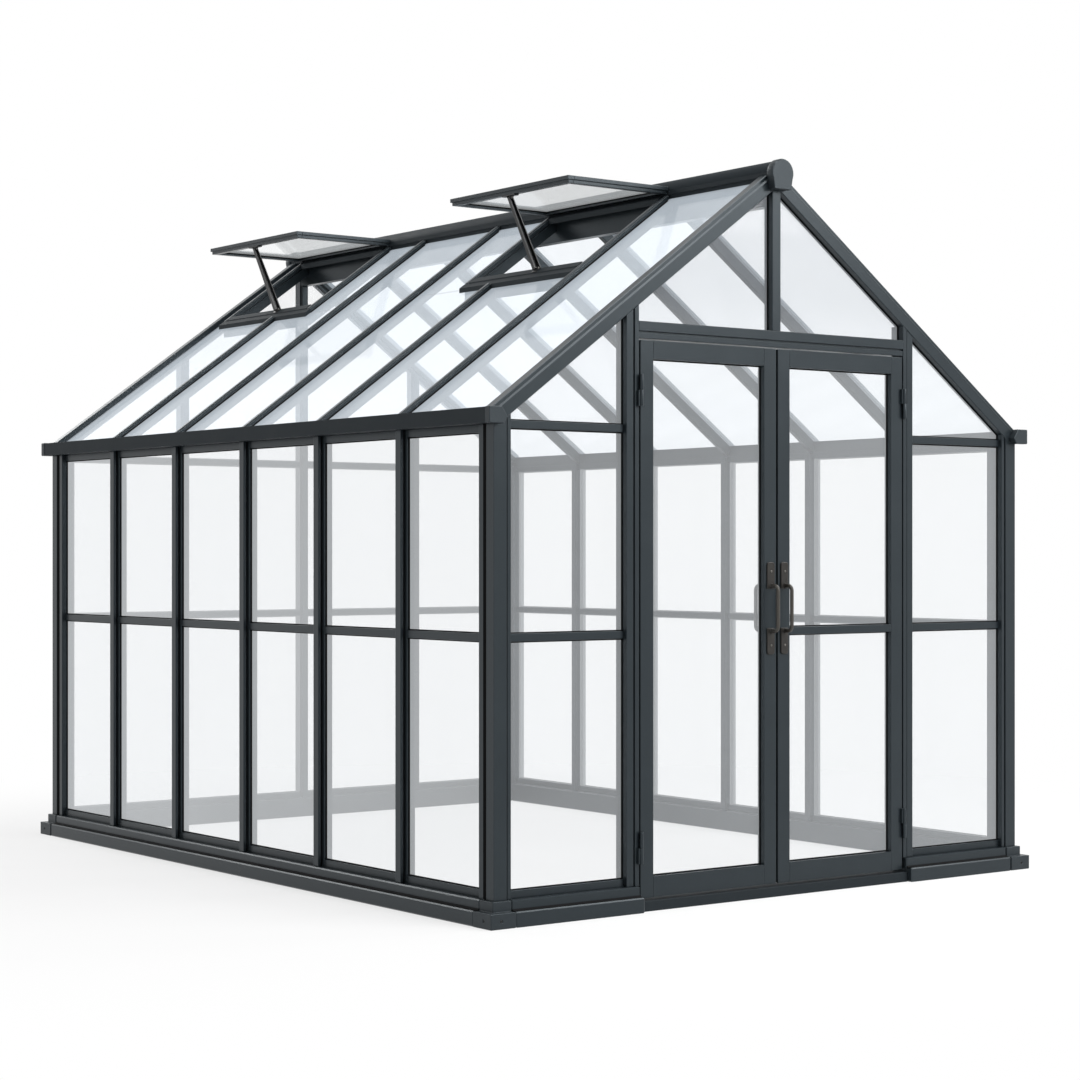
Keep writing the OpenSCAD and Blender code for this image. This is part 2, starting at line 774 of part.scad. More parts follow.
module vent_glass() {
  color(glass_tone)
    for (v = vent_ys)
      translate([-sash_x1 + sash_w - sash_slot_in + edge_gap,
        v[0] - cap_w / 2 + sash_w - sash_slot_in + edge_gap, sash_mid - glass_t / 2])
        cube([sash_l - 2 * (sash_w - sash_slot_in + edge_gap),
          v[1] - v[0] + cap_w - 2 * (sash_w - sash_slot_in + edge_gap), glass_t]);
}

// round bar between two points
module rod(p, q, r) {
  v = q - p;
  translate(p) rotate([0, acos(v[2] / norm(v)), atan2(v[1], v[0])]) cylinder(h = norm(v), r = r, $fn = 12);
}

module vent_stays() {
  foot_x = vent_x + curb_rail_w / 2;
  head_x = sash_x1 - sash_w / 2;
  color(fitting_tone)
    for (v = vent_ys) {
      foot_y = v[0] + stay_foot * vent_w;
      head_y = (v[0] + v[1]) / 2;
      foot = [-foot_x, foot_y, zr(foot_x, curb_n + stay_pad_t / 2)];
      head = [-head_x, head_y, sash_z - stay_pad_t / 2];
      union() {
        slab_y(slope_pts(-1, vent_x, vent_end, curb_n, curb_n + stay_pad_t),
          foot_y - stay_pad / 2, foot_y + stay_pad / 2);
        translate([-head_x - stay_pad / 2, head_y - stay_pad / 2, sash_z - stay_pad_t])
          cube([stay_pad, stay_pad, stay_pad_t]);
        rod(foot, head, stay_r);
        rod(head, head + sleeve_share * (foot - head), sleeve_r);
      }
    }
}

// frame half of a hinge at the left door post
module frame_hinge(z) {
  translate([-pin_x, -wall_hl - pin_out, z - hinge_h / 2]) {
    cylinder(h = hinge_h / 2 - hinge_play, r = knuckle_r);
    cylinder(h = hinge_h - pin_short, r = pin_r);
  }
  translate([-door_half - hinge_block, -wall_hl - pin_out, z - hinge_h / 2])
    cube([hinge_block, pin_out, hinge_h / 2 - hinge_play]);
}

module frame_hinge_knuckles() {
  color(fitting_tone)
    both_x()
      for (z = hinge_zs) frame_hinge(z);
}

// door half of a hinge on the left leaf
module leaf_hinge(z) {
  difference() {
    union() {
      translate([-pin_x, -wall_hl - pin_out, z + hinge_play])
        cylinder(h = hinge_h / 2 - hinge_play, r = knuckle_r);
      translate([-leaf_out, -wall_hl - pin_out, z + hinge_play])
        cube([hinge_block, pin_out, hinge_h / 2 - hinge_play]);
    }
    translate([-pin_x, -wall_hl - pin_out, z]) cylinder(h = hinge_h / 2 - bore_roof, r = pin_r + pin_play);
  }
}

module door_hinges() {
  for (z = hinge_zs) leaf_hinge(z);
}

// left leaf members, the right leaf mirrors them
module door_stiles() {
  for (s = [[-leaf_out, 1], [-leaf_in, -1]])
    translate([s[0], -wall_hl, leaf_bottom])
      linear_extrude(height = leaf_top - leaf_bottom)
        polygon([[0, 0], [s[1] * leaf_stile, 0], [s[1] * leaf_stile, leaf_glass_d],
          [s[1] * (leaf_stile - leaf_slot_in), leaf_glass_d],
          [s[1] * (leaf_stile - leaf_slot_in), leaf_slot_d],
          [s[1] * leaf_stile, leaf_slot_d], [s[1] * leaf_stile, leaf_t], [0, leaf_t]]);
}

// rail of a leaf between two heights, with grooves for the glass above or below
module door_rail(z0, z1, below, above) {
  x0 = -leaf_out + leaf_stile;
  len = leaf_out - leaf_in - 2 * leaf_stile;
  difference() {
    translate([x0, -wall_hl, z0]) cube([len, leaf_t, z1 - z0]);
    if (below)
      translate([x0 - 1, -wall_hl + leaf_glass_d, z0 - 1]) cube([len + 2, slot_w, leaf_slot_in + 1]);
    if (above)
      translate([x0 - 1, -wall_hl + leaf_glass_d, z1 - leaf_slot_in]) cube([len + 2, slot_w, leaf_slot_in + 1]);
  }
}

module door_end_rails() {
  door_rail(leaf_bottom, leaf_bottom + leaf_bottom_rail, false, true);
  door_rail(leaf_top - leaf_top_rail, leaf_top, true, false);
}

leaf_mid_h = 28;

module door_pane(z0, z1) {
  x0 = -leaf_out + leaf_stile - leaf_slot_in + edge_gap;
  x1 = -leaf_in - leaf_stile + leaf_slot_in - edge_gap;
  translate([x0, -wall_hl + leaf_glass_d, z0]) cube([x1 - x0, glass_t, z1 - z0]);
}

pane_lo = leaf_bottom + leaf_bottom_rail - leaf_slot_in + edge_gap;
pane_hi = leaf_top - leaf_top_rail + leaf_slot_in - edge_gap;

// one handle on the outer face of the left leaf, out runs to -Y
module handle() {
  half_w = plate_w / 2;
  half_h = handle_plate_h / 2;
  rotate([90, 0, 0]) linear_extrude(height = plate_t)
    polygon([[-half_w, plate_cut - half_h], [plate_cut - half_w, -half_h], [half_w - plate_cut, -half_h],
      [half_w, plate_cut - half_h], [half_w, half_h - plate_round], [half_w - plate_round, half_h],
      [plate_round - half_w, half_h], [-half_w, half_h - plate_round]]);
  for (x = [plate_round - half_w, half_w - plate_round])
    translate([x, 0, half_h - plate_round]) rotate([90, 0, 0]) cylinder(h = plate_t, r = plate_round);
  reach = plate_t + grip_out - grip_r - grip_bend;
  for (flip = [0, 1])
    mirror([0, 0, flip]) {
      translate([0, 0, grip_h / 2 - grip_r]) rotate([90, 0, 0]) cylinder(h = reach, r = grip_r, $fn = 12);
      translate([0, -reach, grip_h / 2 - grip_r - grip_bend]) rotate([90, 0, -90])
        rotate_extrude(angle = 90) translate([grip_bend, 0]) circle(r = grip_r, $fn = 12);
      translate([0, -reach - grip_bend, -join])
        cylinder(h = grip_h / 2 - grip_r - grip_bend + join, r = grip_r, $fn = 12);
    }
}

module door_handles() {
  translate([-handle_x, -wall_hl, handle_z]) handle();
  translate([-handle_x, -wall_hl + leaf_t, handle_z]) mirror([0, 1, 0]) handle();
}

module left_door_stiles() {
  color(frame_tone) door_stiles();
}

module left_door_rails() {
  color(frame_tone) door_end_rails();
}

module left_door_glass() {
  color(glass_tone) door_pane(pane_lo, pane_hi);
}

module left_door_handles() {
  color(fitting_tone) door_handles();
}

module left_door_hinges() {
  color(fitting_tone) door_hinges();
}

module right_door_stiles() {
  color(frame_tone) mirror([1, 0, 0]) door_stiles();
}

module right_door_rails() {
  color(frame_tone) mirror([1, 0, 0]) {
    door_end_rails();
    door_rail(mid_z - leaf_mid_h / 2, mid_z + leaf_mid_h / 2, true, true);
  }
}

module right_door_glass() {
  color(glass_tone) mirror([1, 0, 0]) {
    door_pane(pane_lo, mid_z - leaf_mid_h / 2 + leaf_slot_in - edge_gap);
    door_pane(mid_z + leaf_mid_h / 2 - leaf_slot_in + edge_gap, pane_hi);
  }
}

module right_door_handles() {
  color(fitting_tone) mirror([1, 0, 0]) door_handles();
}

module right_door_hinges() {
  color(fitting_tone) mirror([1, 0, 0]) door_hinges();
}

side_base_rails();
end_base_rails();
door_threshold();
base_corner_castings();
corner_posts();
side_wall_bars();
back_wall_bars();
side_wall_rails();
back_wall_rails();
front_wall_rails();
side_wall_glass();
back_wall_glass();
front_wall_glass();
eave_gutters();
eave_beams();
eave_corner_brackets();
gable_rafters();
left_roof_bars();
right_roof_bars();
ridge_beam();
ridge_capping();
ridge_end_caps();
left_roof_glass();
right_roof_glass();
door_posts();
door_head();
front_king_post();
frame_hinge_knuckles();
vent_curb_rails();
vent_sash_stiles();
vent_sash_rails();
vent_glass();
vent_stays();
left_door_stiles();
left_door_rails();
left_door_glass();
left_door_handles();
left_door_hinges();
right_door_stiles();
right_door_rails();
right_door_glass();
right_door_handles();
right_door_hinges();
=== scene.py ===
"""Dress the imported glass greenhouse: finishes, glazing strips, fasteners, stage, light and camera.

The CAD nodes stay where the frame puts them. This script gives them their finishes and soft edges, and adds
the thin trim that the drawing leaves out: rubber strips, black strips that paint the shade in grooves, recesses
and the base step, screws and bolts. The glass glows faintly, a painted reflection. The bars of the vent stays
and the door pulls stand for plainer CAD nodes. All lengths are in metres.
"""

import logging
import math
from dataclasses import dataclass, field
from enum import Enum
from typing import Callable, Iterable, Sequence

import bmesh
import bpy
from mathutils import Matrix, Vector


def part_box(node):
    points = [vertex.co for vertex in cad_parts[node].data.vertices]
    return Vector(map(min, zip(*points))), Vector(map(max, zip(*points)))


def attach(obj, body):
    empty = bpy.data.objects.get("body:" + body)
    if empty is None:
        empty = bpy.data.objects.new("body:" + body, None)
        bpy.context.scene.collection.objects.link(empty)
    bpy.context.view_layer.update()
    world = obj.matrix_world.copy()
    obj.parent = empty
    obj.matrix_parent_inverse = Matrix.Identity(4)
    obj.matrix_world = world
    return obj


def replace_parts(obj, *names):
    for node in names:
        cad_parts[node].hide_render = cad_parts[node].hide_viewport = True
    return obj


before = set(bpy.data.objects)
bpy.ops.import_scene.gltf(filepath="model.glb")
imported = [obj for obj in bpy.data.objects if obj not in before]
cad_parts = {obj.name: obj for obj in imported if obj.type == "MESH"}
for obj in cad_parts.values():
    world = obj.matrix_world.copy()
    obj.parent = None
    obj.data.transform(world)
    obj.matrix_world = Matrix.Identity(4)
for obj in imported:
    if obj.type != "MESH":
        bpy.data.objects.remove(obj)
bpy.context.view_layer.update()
LOG = logging.getLogger("greenhouse")

Colour = tuple[float, float, float]
Place = tuple[float, float, float]
Profile = Sequence[tuple[float, float]]
Loop = Sequence[Vector]
Socket = bpy.types.NodeSocket
Cover = Callable[[Vector, Vector, Vector], float]

X_AXIS = Vector((1.0, 0.0, 0.0))
Y_AXIS = Vector((0.0, 1.0, 0.0))
Z_AXIS = Vector((0.0, 0.0, 1.0))
SIGNS = (-1, 1)
FLUSH = 0.0005  # points within this distance of a plane lie on it
NEAR = 0.001  # an edge within this distance of a pane's border runs along it
POINT_DIGITS = 5  # decimals that tell two points of a mesh apart
EDGE_DIGITS = 4  # decimals that tell two edges of a pad apart


class Body(Enum):
    """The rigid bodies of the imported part."""

    HOUSE = "house"
    LEFT_DOOR = "left_door"
    RIGHT_DOOR = "right_door"


class Slot(Enum):
    """The record's material slots that the calls name for the new pieces."""

    FRAME = "grey_frame"
    FITTINGS = "bronze_fittings"


class Edge(Enum):
    """Widths of the soft edges that the modifiers put on CAD nodes."""

    CRISP = 0.0006
    PROFILE = 0.0016
    RAFTER = 0.0026
    CAST = 0.0032
    BASE = 0.0044


DOORS = (Body.LEFT_DOOR, Body.RIGHT_DOOR)


# Shader helpers

class Graph:
    """A node tree with short calls that add and join nodes."""

    def __init__(self, tree: bpy.types.NodeTree) -> None:
        """Keep the tree."""
        self.tree = tree

    def add(self, kind: str, inputs: dict | None = None, **settings: object) -> bpy.types.Node:
        """Add a node.

        Args:
            kind: The node's Blender type name.
            inputs: What its inputs get, as feed takes it.
            settings: Attributes to set on the node.

        Returns:
            The new node.
        """
        node = self.tree.nodes.new(kind)
        for name, value in settings.items():
            setattr(node, name, value)
        self.feed(node, inputs or {})
        return node

    def feed(self, node: bpy.types.Node, inputs: dict) -> None:
        """Join or set a node's inputs.

        Args:
            node: The node.
            inputs: A socket, a number or a colour for each name or index of an input.
        """
        for key, value in inputs.items():
            socket = node.inputs[key]
            if isinstance(value, Socket):
                self.tree.links.new(value, socket)
            else:
                socket.default_value = (*value, 1.0) if isinstance(value, tuple) else value

    def math(self, operation: str, first: Socket | float, second: Socket | float = 0.0) -> Socket:
        """Add a Math node of sockets or numbers."""
        return self.add("ShaderNodeMath", {0: first, 1: second}, operation=operation).outputs[0]

    def spread(self, value: Socket, low: float, high: float) -> Socket:
        """Map a value of 0 to 1 onto low to high."""
        return self.add("ShaderNodeMapRange", {"Value": value, "To Min": low, "To Max": high}).outputs["Result"]

    def ramp(self, value: Socket, start: float, full: float, low: float = 0.0, high: float = 1.0) -> Socket:
        """Rise smoothly from low to high while a value goes from start to full."""
        inputs = {"Value": value, "From Min": start, "From Max": full, "To Min": low, "To Max": high}
        return self.add("ShaderNodeMapRange", inputs, interpolation_type="SMOOTHSTEP").outputs["Result"]

    def blend(self, mask: Socket, first: Socket | Colour, second: Socket | Colour) -> Socket:
        """Mix two colours; the mask is the share of the second."""
        return self.add("ShaderNodeMix", {"Factor": mask, 6: first, 7: second}, data_type="RGBA").outputs[2]

    def part(self, vector: Socket, axis: str) -> Socket:
        """Take one coordinate of a vector."""
        return self.add("ShaderNodeSeparateXYZ", {"Vector": vector}).outputs[axis]

    def place(self) -> Socket:
        """The place on the object."""
        return self.add("ShaderNodeTexCoord").outputs["Object"]


class SharedEffects:
    """Node groups for the effects that more than one finish uses."""

    def __init__(self) -> None:
        """Build each group once."""
        self.grain = self._grain()
        self.dust = self._dust()

    @staticmethod
    def _group(name: str, inputs: dict[str, float], outputs: Sequence[str]) -> Graph:
        """Start a group with float sockets.

        Args:
            name: The group's name.
            inputs: Names and default values of the inputs.
            outputs: Names of the outputs.

        Returns:
            The group's graph.
        """
        tree = bpy.data.node_groups.new(name, "ShaderNodeTree")
        for label, value in inputs.items():
            socket = tree.interface.new_socket(label, in_out="INPUT", socket_type="NodeSocketFloat")
            socket.default_value = value
        for label in outputs:
            tree.interface.new_socket(label, in_out="OUTPUT", socket_type="NodeSocketFloat")
        return Graph(tree)

    def _grain(self) -> bpy.types.NodeTree:
        """Build the coat's orange peel (Height) and its slow mottle (Mottle).

        Returns:
            The group.
        """
        graph = self._group("coat_grain", {"Peel Scale": 900.0, "Mottle Scale": 7.0}, ("Height", "Mottle"))
        entry, leave, place = graph.add("NodeGroupInput"), graph.add("NodeGroupOutput"), graph.place()
        peel = graph.add("ShaderNodeTexNoise", {
            "Vector": place, "Scale": entry.outputs["Peel Scale"], "Detail": 2.0})
        cloud = graph.add("ShaderNodeTexNoise", {
            "Vector": place, "Scale": entry.outputs["Mottle Scale"], "Detail": 5.0, "Roughness": 0.6})
        graph.feed(leave, {"Height": peel.outputs["Fac"], "Mottle": cloud.outputs["Fac"]})
        return graph.tree

    def _dust(self) -> bpy.types.NodeTree:
        """Build the mask of dust that lies on faces that look up.

        Returns:
            The group.
        """
        graph = self._group("dust_film", {"Amount": 0.2, "Patch Scale": 14.0}, ("Mask",))
        entry, leave = graph.add("NodeGroupInput"), graph.add("NodeGroupOutput")
        patch = graph.add("ShaderNodeTexNoise", {
            "Vector": graph.place(), "Scale": entry.outputs["Patch Scale"], "Detail": 6.0})
        normal = graph.add("ShaderNodeNewGeometry").outputs["Normal"]
        facing = graph.math("MAXIMUM", graph.part(normal, "Z"))
        cover = graph.math("MULTIPLY", facing, patch.outputs["Fac"])
        graph.feed(leave, {"Mask": graph.math("MULTIPLY", cover, entry.outputs["Amount"])})
        return graph.tree


def start_material(name: str) -> tuple[bpy.types.Material, Graph, bpy.types.Node]:
    """Start a material.

    Args:
        name: The material's name.

    Returns:
        The material, its graph and its Principled shader.
    """
    material = bpy.data.materials.new(name)
    material.use_nodes = True
    return material, Graph(material.node_tree), material.node_tree.nodes["Principled BSDF"]


# Finishes

@dataclass(frozen=True)
class WearAndHighlight:
    """A lighter tone on what stands off a plane across Y: partly wear that use has left, partly a painted
    highlight.
    """

    middle: float
    start: float
    full: float
    tone: Colour

    def mask(self, graph: Graph) -> Socket:
        """Build the mask, 1 where the surface stands off in full."""
        off = graph.math("SUBTRACT", graph.part(graph.place(), "Y"), self.middle)
        return graph.ramp(graph.math("ABSOLUTE", off), self.start, self.full)


@dataclass(frozen=True)
class CoatFinish:
    """A coated or moulded opaque finish."""

    name: str
    base: Colour
    light: Colour
    rough: tuple[float, float]
    peel_scale: float
    peel_height: float
    mottle_scale: float
    dust: float
    peel_strength: float = 0.6
    metallic: float = 0.0
    specular: float = 0.5
    gloss_tone: Colour = (1.0, 1.0, 1.0)
    dust_tone: Colour = (0.34, 0.37, 0.39)
    wear_and_highlight: WearAndHighlight | None = None

    def build(self, effects: SharedEffects) -> bpy.types.Material:
        """Make the material.

        Args:
            effects: The shared node groups.

        Returns:
            The material.
        """
        material, graph, shader = start_material(self.name)
        grain = graph.add("ShaderNodeGroup", {
            "Peel Scale": self.peel_scale, "Mottle Scale": self.mottle_scale}, node_tree=effects.grain)
        mottle = grain.outputs["Mottle"]
        dust = graph.add("ShaderNodeGroup", {"Amount": self.dust}, node_tree=effects.dust).outputs["Mask"]
        coat = graph.blend(mottle, self.base, self.light)
        # grips lighter than the lugs: partly wear, partly painted highlight
        if self.wear_and_highlight:
            coat = graph.blend(self.wear_and_highlight.mask(graph), coat, self.wear_and_highlight.tone)
        bump = graph.add("ShaderNodeBump", {
            "Distance": self.peel_height, "Strength": self.peel_strength, "Height": grain.outputs["Height"]})
        graph.feed(shader, {
            "Base Color": graph.blend(dust, coat, self.dust_tone),
            "Roughness": graph.math("ADD", graph.spread(mottle, *self.rough), dust),
            "Metallic": self.metallic,
            "Specular IOR Level": self.specular,
            "Specular Tint": self.gloss_tone,
            "Normal": bump.outputs["Normal"]})
        return material


@dataclass(frozen=True)
class GlassFinish:
    """Clear float glass with a pale veil of reflected light, seen as a thin see-through coat; the reflected
    light is painted, a faint glow of the material that is no lamp.

    Sloping panes have a body colour and a glow of their own, painted sky reflection. The painted wall
    reflection turns into the darker painted reflection of the gable panes over the heights of gable_span. The
    coat thickens on panes seen at a slant, a painted grazing reflection that roof_cut trims on sloping panes.
    """

    name: str
    tint: Colour
    smear: Colour
    # body colour of sloping panes, paler where it paints sky reflection
    roof_tint_and_reflection: Colour
    # colours of the glow that paints the panes' reflection
    wall_reflection_glow: Colour
    gable_reflection_glow: Colour
    roof_reflection_glow: Colour
    veil: float
    # how much the coat thickens at a slant, a painted grazing reflection
    grazing_reflection_gain: float
    grazing_reflection_power: float = 3.0
    roof_cut: float = 0.0
    # strength of the painted reflection glow
    reflection_glow_strength: float = 0.75
    gable_span: tuple[float, float] = (1.95, 2.25)
    veil_spread: tuple[float, float] = (0.8, 1.2)
    slant_blend: float = 0.5
    most_alpha: float = 0.95
    rough: tuple[float, float] = (0.02, 0.07)
    mottle_scale: float = 1.3
    dust: float = 0.06
    specular: float = 0.3
    ior: float = 1.5

    def build(self, effects: SharedEffects) -> bpy.types.Material:
        """Make the material.

        Args:
            effects: The shared node groups.

        Returns:
            The material.
        """
        material, graph, shader = start_material(self.name)
        grain = graph.add("ShaderNodeGroup", {"Mottle Scale": self.mottle_scale}, node_tree=effects.grain)
        mottle = grain.outputs["Mottle"]
        dust = graph.add("ShaderNodeGroup", {"Amount": self.dust}, node_tree=effects.dust).outputs["Mask"]
        normal = graph.add("ShaderNodeNewGeometry").outputs["True Normal"]
        tilt = graph.math("ABSOLUTE", graph.part(normal, "Z"))
        body = graph.blend(mottle, self.tint, self.smear)
        # the painted reflection turns darker on the upper front panes
        gable = graph.ramp(graph.part(graph.place(), "Z"), *self.gable_span)
        wall = graph.blend(gable, self.wall_reflection_glow, self.gable_reflection_glow)
        # the coat thickens at a slant: painted grazing reflection, trimmed on sloping panes
        slant = graph.add("ShaderNodeLayerWeight", {"Blend": self.slant_blend}).outputs["Facing"]
        grazing_reflection = graph.math("MULTIPLY", graph.math("POWER", slant, self.grazing_reflection_power), self.grazing_reflection_gain)
        share = graph.math("SUBTRACT", 1.0, graph.math("MULTIPLY", tilt, self.roof_cut))
        thin, thick = (self.veil * part for part in self.veil_spread)
        film = graph.math("ADD", graph.spread(mottle, thin, thick), dust)
        cover = graph.math("ADD", graph.math("MULTIPLY", grazing_reflection, share), film)
        graph.feed(shader, {
            # sloping panes: their own body colour, painted sky reflection
            "Base Color": graph.blend(tilt, body, self.roof_tint_and_reflection),
            "Roughness": graph.spread(mottle, *self.rough),
            "IOR": self.ior,
            "Specular IOR Level": self.specular,
            # a glow that paints the panes' reflection; the glass is no lamp
            "Emission Color": graph.blend(tilt, wall, self.roof_reflection_glow),
            "Emission Strength": self.reflection_glow_strength,
            "Alpha": graph.math("MINIMUM", cover, self.most_alpha)})
        return material


@dataclass(frozen=True)
class FinishSet:
    """All materials of the greenhouse."""

    coat: bpy.types.Material
    cast: bpy.types.Material
    bronze: bpy.types.Material
    glass: bpy.types.Material
    vent_glass: bpy.types.Material
    rubber_and_shade: bpy.types.Material
    steel: bpy.types.Material
    tread: bpy.types.Material
    screw: bpy.types.Material

    @classmethod
    def make(cls) -> "FinishSet":
        """Build every finish once.

        Returns:
            The set.
        """
        low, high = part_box("left_door_handles")
        reach = (high.y - low.y) / 2
        # the grips of the pulls get a lighter tone: partly wear, partly painted highlight
        grip_tone_start, grip_tone_full = 0.034, 0.012
        grip_wear_and_highlight = WearAndHighlight((low.y + high.y) / 2, reach - grip_tone_start, reach - grip_tone_full, (0.044, 0.040, 0.034))
        cool = (0.82, 0.93, 1.0)
        looks: dict[str, CoatFinish | GlassFinish] = {
            "coat": CoatFinish(
                "anthracite_coat", (0.0105, 0.0145, 0.0175), (0.0150, 0.0200, 0.0235), rough=(0.24, 0.36),
                peel_scale=1400.0, peel_height=0.00012, mottle_scale=6.0, dust=0.008, specular=0.36,
                gloss_tone=cool),
            "cast": CoatFinish(
                "anthracite_casting", (0.0120, 0.0160, 0.0190), (0.0180, 0.0225, 0.0260), rough=(0.34, 0.48),
                peel_scale=620.0, peel_height=0.00035, mottle_scale=11.0, dust=0.01, specular=0.36,
                gloss_tone=cool),
            "bronze": CoatFinish(
                "dark_bronze", (0.0075, 0.0066, 0.0056), (0.0260, 0.0232, 0.0200), rough=(0.24, 0.40),
                peel_scale=420.0, peel_height=0.0006, mottle_scale=60.0, dust=0.01, specular=0.34,
                wear_and_highlight=grip_wear_and_highlight),
            # glass: its emission colours paint the reflection, bluer on sloping panes and darker on the upper
            # front panes; the paler roof body is painted sky reflection too
            "glass": GlassFinish(
                "clear_float_glass", (0.10, 0.11, 0.12), (0.12, 0.13, 0.14), roof_tint_and_reflection=(0.34, 0.37, 0.40),
                wall_reflection_glow=(0.94, 0.965, 0.985), gable_reflection_glow=(0.50, 0.52, 0.55),
                roof_reflection_glow=(0.77, 0.865, 0.96), veil=0.120, grazing_reflection_gain=0.70, grazing_reflection_power=2.0, roof_cut=0.69),
            # vent panes: a darker, greyer painted reflection glow
            "vent_glass": GlassFinish(
                "vent_float_glass", (0.10, 0.11, 0.11), (0.13, 0.14, 0.14), roof_tint_and_reflection=(0.12, 0.13, 0.13),
                wall_reflection_glow=(0.60, 0.62, 0.63), gable_reflection_glow=(0.60, 0.62, 0.63),
                roof_reflection_glow=(0.52, 0.54, 0.55), veil=0.140, grazing_reflection_gain=0.42),
            # near-black: real for the gaskets and seals, painted shade for the strips in the corner grooves,
            # bar recesses and base step
            "rubber_and_shade": CoatFinish(
                "black_rubber_and_shade", (0.0012, 0.0014, 0.0016), (0.0035, 0.0038, 0.0042), rough=(0.62, 0.80),
                peel_scale=800.0, peel_height=0.0002, mottle_scale=20.0, dust=0.004, specular=0.10),
            "steel": CoatFinish(
                "black_steel", (0.0060, 0.0065, 0.0070), (0.0130, 0.0135, 0.0140), rough=(0.24, 0.38),
                peel_scale=900.0, peel_height=0.0001, mottle_scale=60.0, dust=0.01, specular=0.45),
            "tread": CoatFinish(
                "matt_coat", (0.0090, 0.0120, 0.0145), (0.0140, 0.0180, 0.0210), rough=(0.58, 0.74),
                peel_scale=1400.0, peel_height=0.00012, mottle_scale=9.0, dust=0.01, specular=0.22,
                gloss_tone=cool),
            "screw": CoatFinish(
                "worn_screw", (0.10, 0.095, 0.09), (0.26, 0.25, 0.23), rough=(0.26, 0.40),
                peel_scale=900.0, peel_height=0.0001, mottle_scale=90.0, dust=0.01, metallic=1.0),
        }
        effects = SharedEffects()
        return cls(**{use: look.build(effects) for use, look in looks.items()})


# Mesh helpers

def put(name: str, data: bpy.types.ID) -> bpy.types.Object:
    """Put an object with its data into the scene.

    Args:
        name: The object's name.
        data: A mesh, a light or a camera.

    Returns:
        The new object.
    """
    made = bpy.data.objects.new(name, data)
    bpy.context.scene.collection.objects.link(made)
    return made


class Piece:
    """A mesh under construction that ends as one named object on a body."""

    def __init__(self, name: str) -> None:
        """Start an empty mesh."""
        self.name = name
        self.mesh = bmesh.new()

    def ring(self, corners: Loop, out: Vector, profile: Profile) -> None:
        """Sweep a closed profile round a closed outline with mitred corners.

        Args:
            corners: The outline, in one plane.
            out: The plane's normal on the side where the strip stands.
            profile: Pairs of inward offset and height above the plane.
        """
        inward = [side for _, side in edge_frames(corners, out)]
        loops = []
        for i, corner in enumerate(corners):
            before, after = inward[i - 1], inward[i]
            mitre = (before + after) / (1 + before.dot(after))
            loops.append([self.mesh.verts.new(corner + mitre * u + out * v) for u, v in profile])
        for i, loop in enumerate(loops):
            self._bridge(loop, loops[(i + 1) % len(loops)])

    def strip(self, start: Vector, end: Vector, side: Vector, out: Vector, profile: Profile) -> None:
        """Sweep a closed profile along a straight line and cap its ends.

        Args:
            start: Where the strip starts.
            end: Where it ends.
            side: The direction of the profile's first value.
            out: The direction of the profile's second value.
            profile: Pairs of values along side and out.
        """
        self.loft([[at + side * u + out * v for u, v in profile] for at in (start, end)])

    def lathe(self, place: Matrix, rings: Profile, sides: int, flats: Iterable[int] = ()) -> None:
        """Turn an outline about the Z axis of a place.

        Args:
            place: The place of the axis, Z points out.
            rings: Radius and height of each ring, from the foot to the middle of the top.
            sides: Number of facets.
            flats: Indexes of the rings that are hexagons.
        """
        sixth = math.pi / 3
        loops = []
        for index, (radius, height) in enumerate(rings):
            loop = []
            for k in range(sides):
                turn = 2 * math.pi * k / sides
                reach = radius
                if index in flats:
                    reach *= math.cos(sixth / 2) / math.cos((turn % sixth) - sixth / 2)
                loop.append(place @ Vector((reach * math.cos(turn), reach * math.sin(turn), height)))
            loops.append(loop)
        self.loft(loops)

    def loft(self, loops: Sequence[Loop]) -> None:
        """Skin a row of loops of the same length and cap both ends.

        Args:
            loops: The loops, from one end to the other.
        """
        rings = [[self.mesh.verts.new(point) for point in loop] for loop in loops]
        for first, second in zip(rings, rings[1:]):
            self._bridge(first, second)
        self.mesh.faces.new(rings[0])
        self.mesh.faces.new(list(reversed(rings[-1])))

    def _bridge(self, first: Sequence[bmesh.types.BMVert], second: Sequence[bmesh.types.BMVert]) -> None:
        """Join two loops of the same length by quads."""
        for i in range(len(first)):
            self.mesh.faces.new((first[i - 1], first[i], second[i], second[i - 1]))

    def finish(self, body: Body, slot: Slot, material: bpy.types.Material,
               smooth: float = 40.0) -> bpy.types.Object:
        """Close the mesh, place it on its body and give it its finish.

        Args:
            body: The body that carries the piece.
            slot: The record's material slot; not used.
            material: The finish.
            smooth: Largest angle between faces that shade as one surface, in degrees.

        Returns:
            The new object.
        """
        bmesh.ops.recalc_face_normals(self.mesh, faces=self.mesh.faces)
        for face in self.mesh.faces:
            face.smooth = True
        for edge in self.mesh.edges:
            if len(edge.link_faces) == 2 and edge.calc_face_angle() > math.radians(smooth):
                edge.smooth = False
        data = bpy.data.meshes.new(self.name)
        self.mesh.to_mesh(data)
        self.mesh.free()
        data.materials.append(material)
        made = put(self.name, data)
        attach(made, body.value)
        LOG.info("piece %s on %s, %d faces", self.name, body.value, len(data.polygons))
        return made


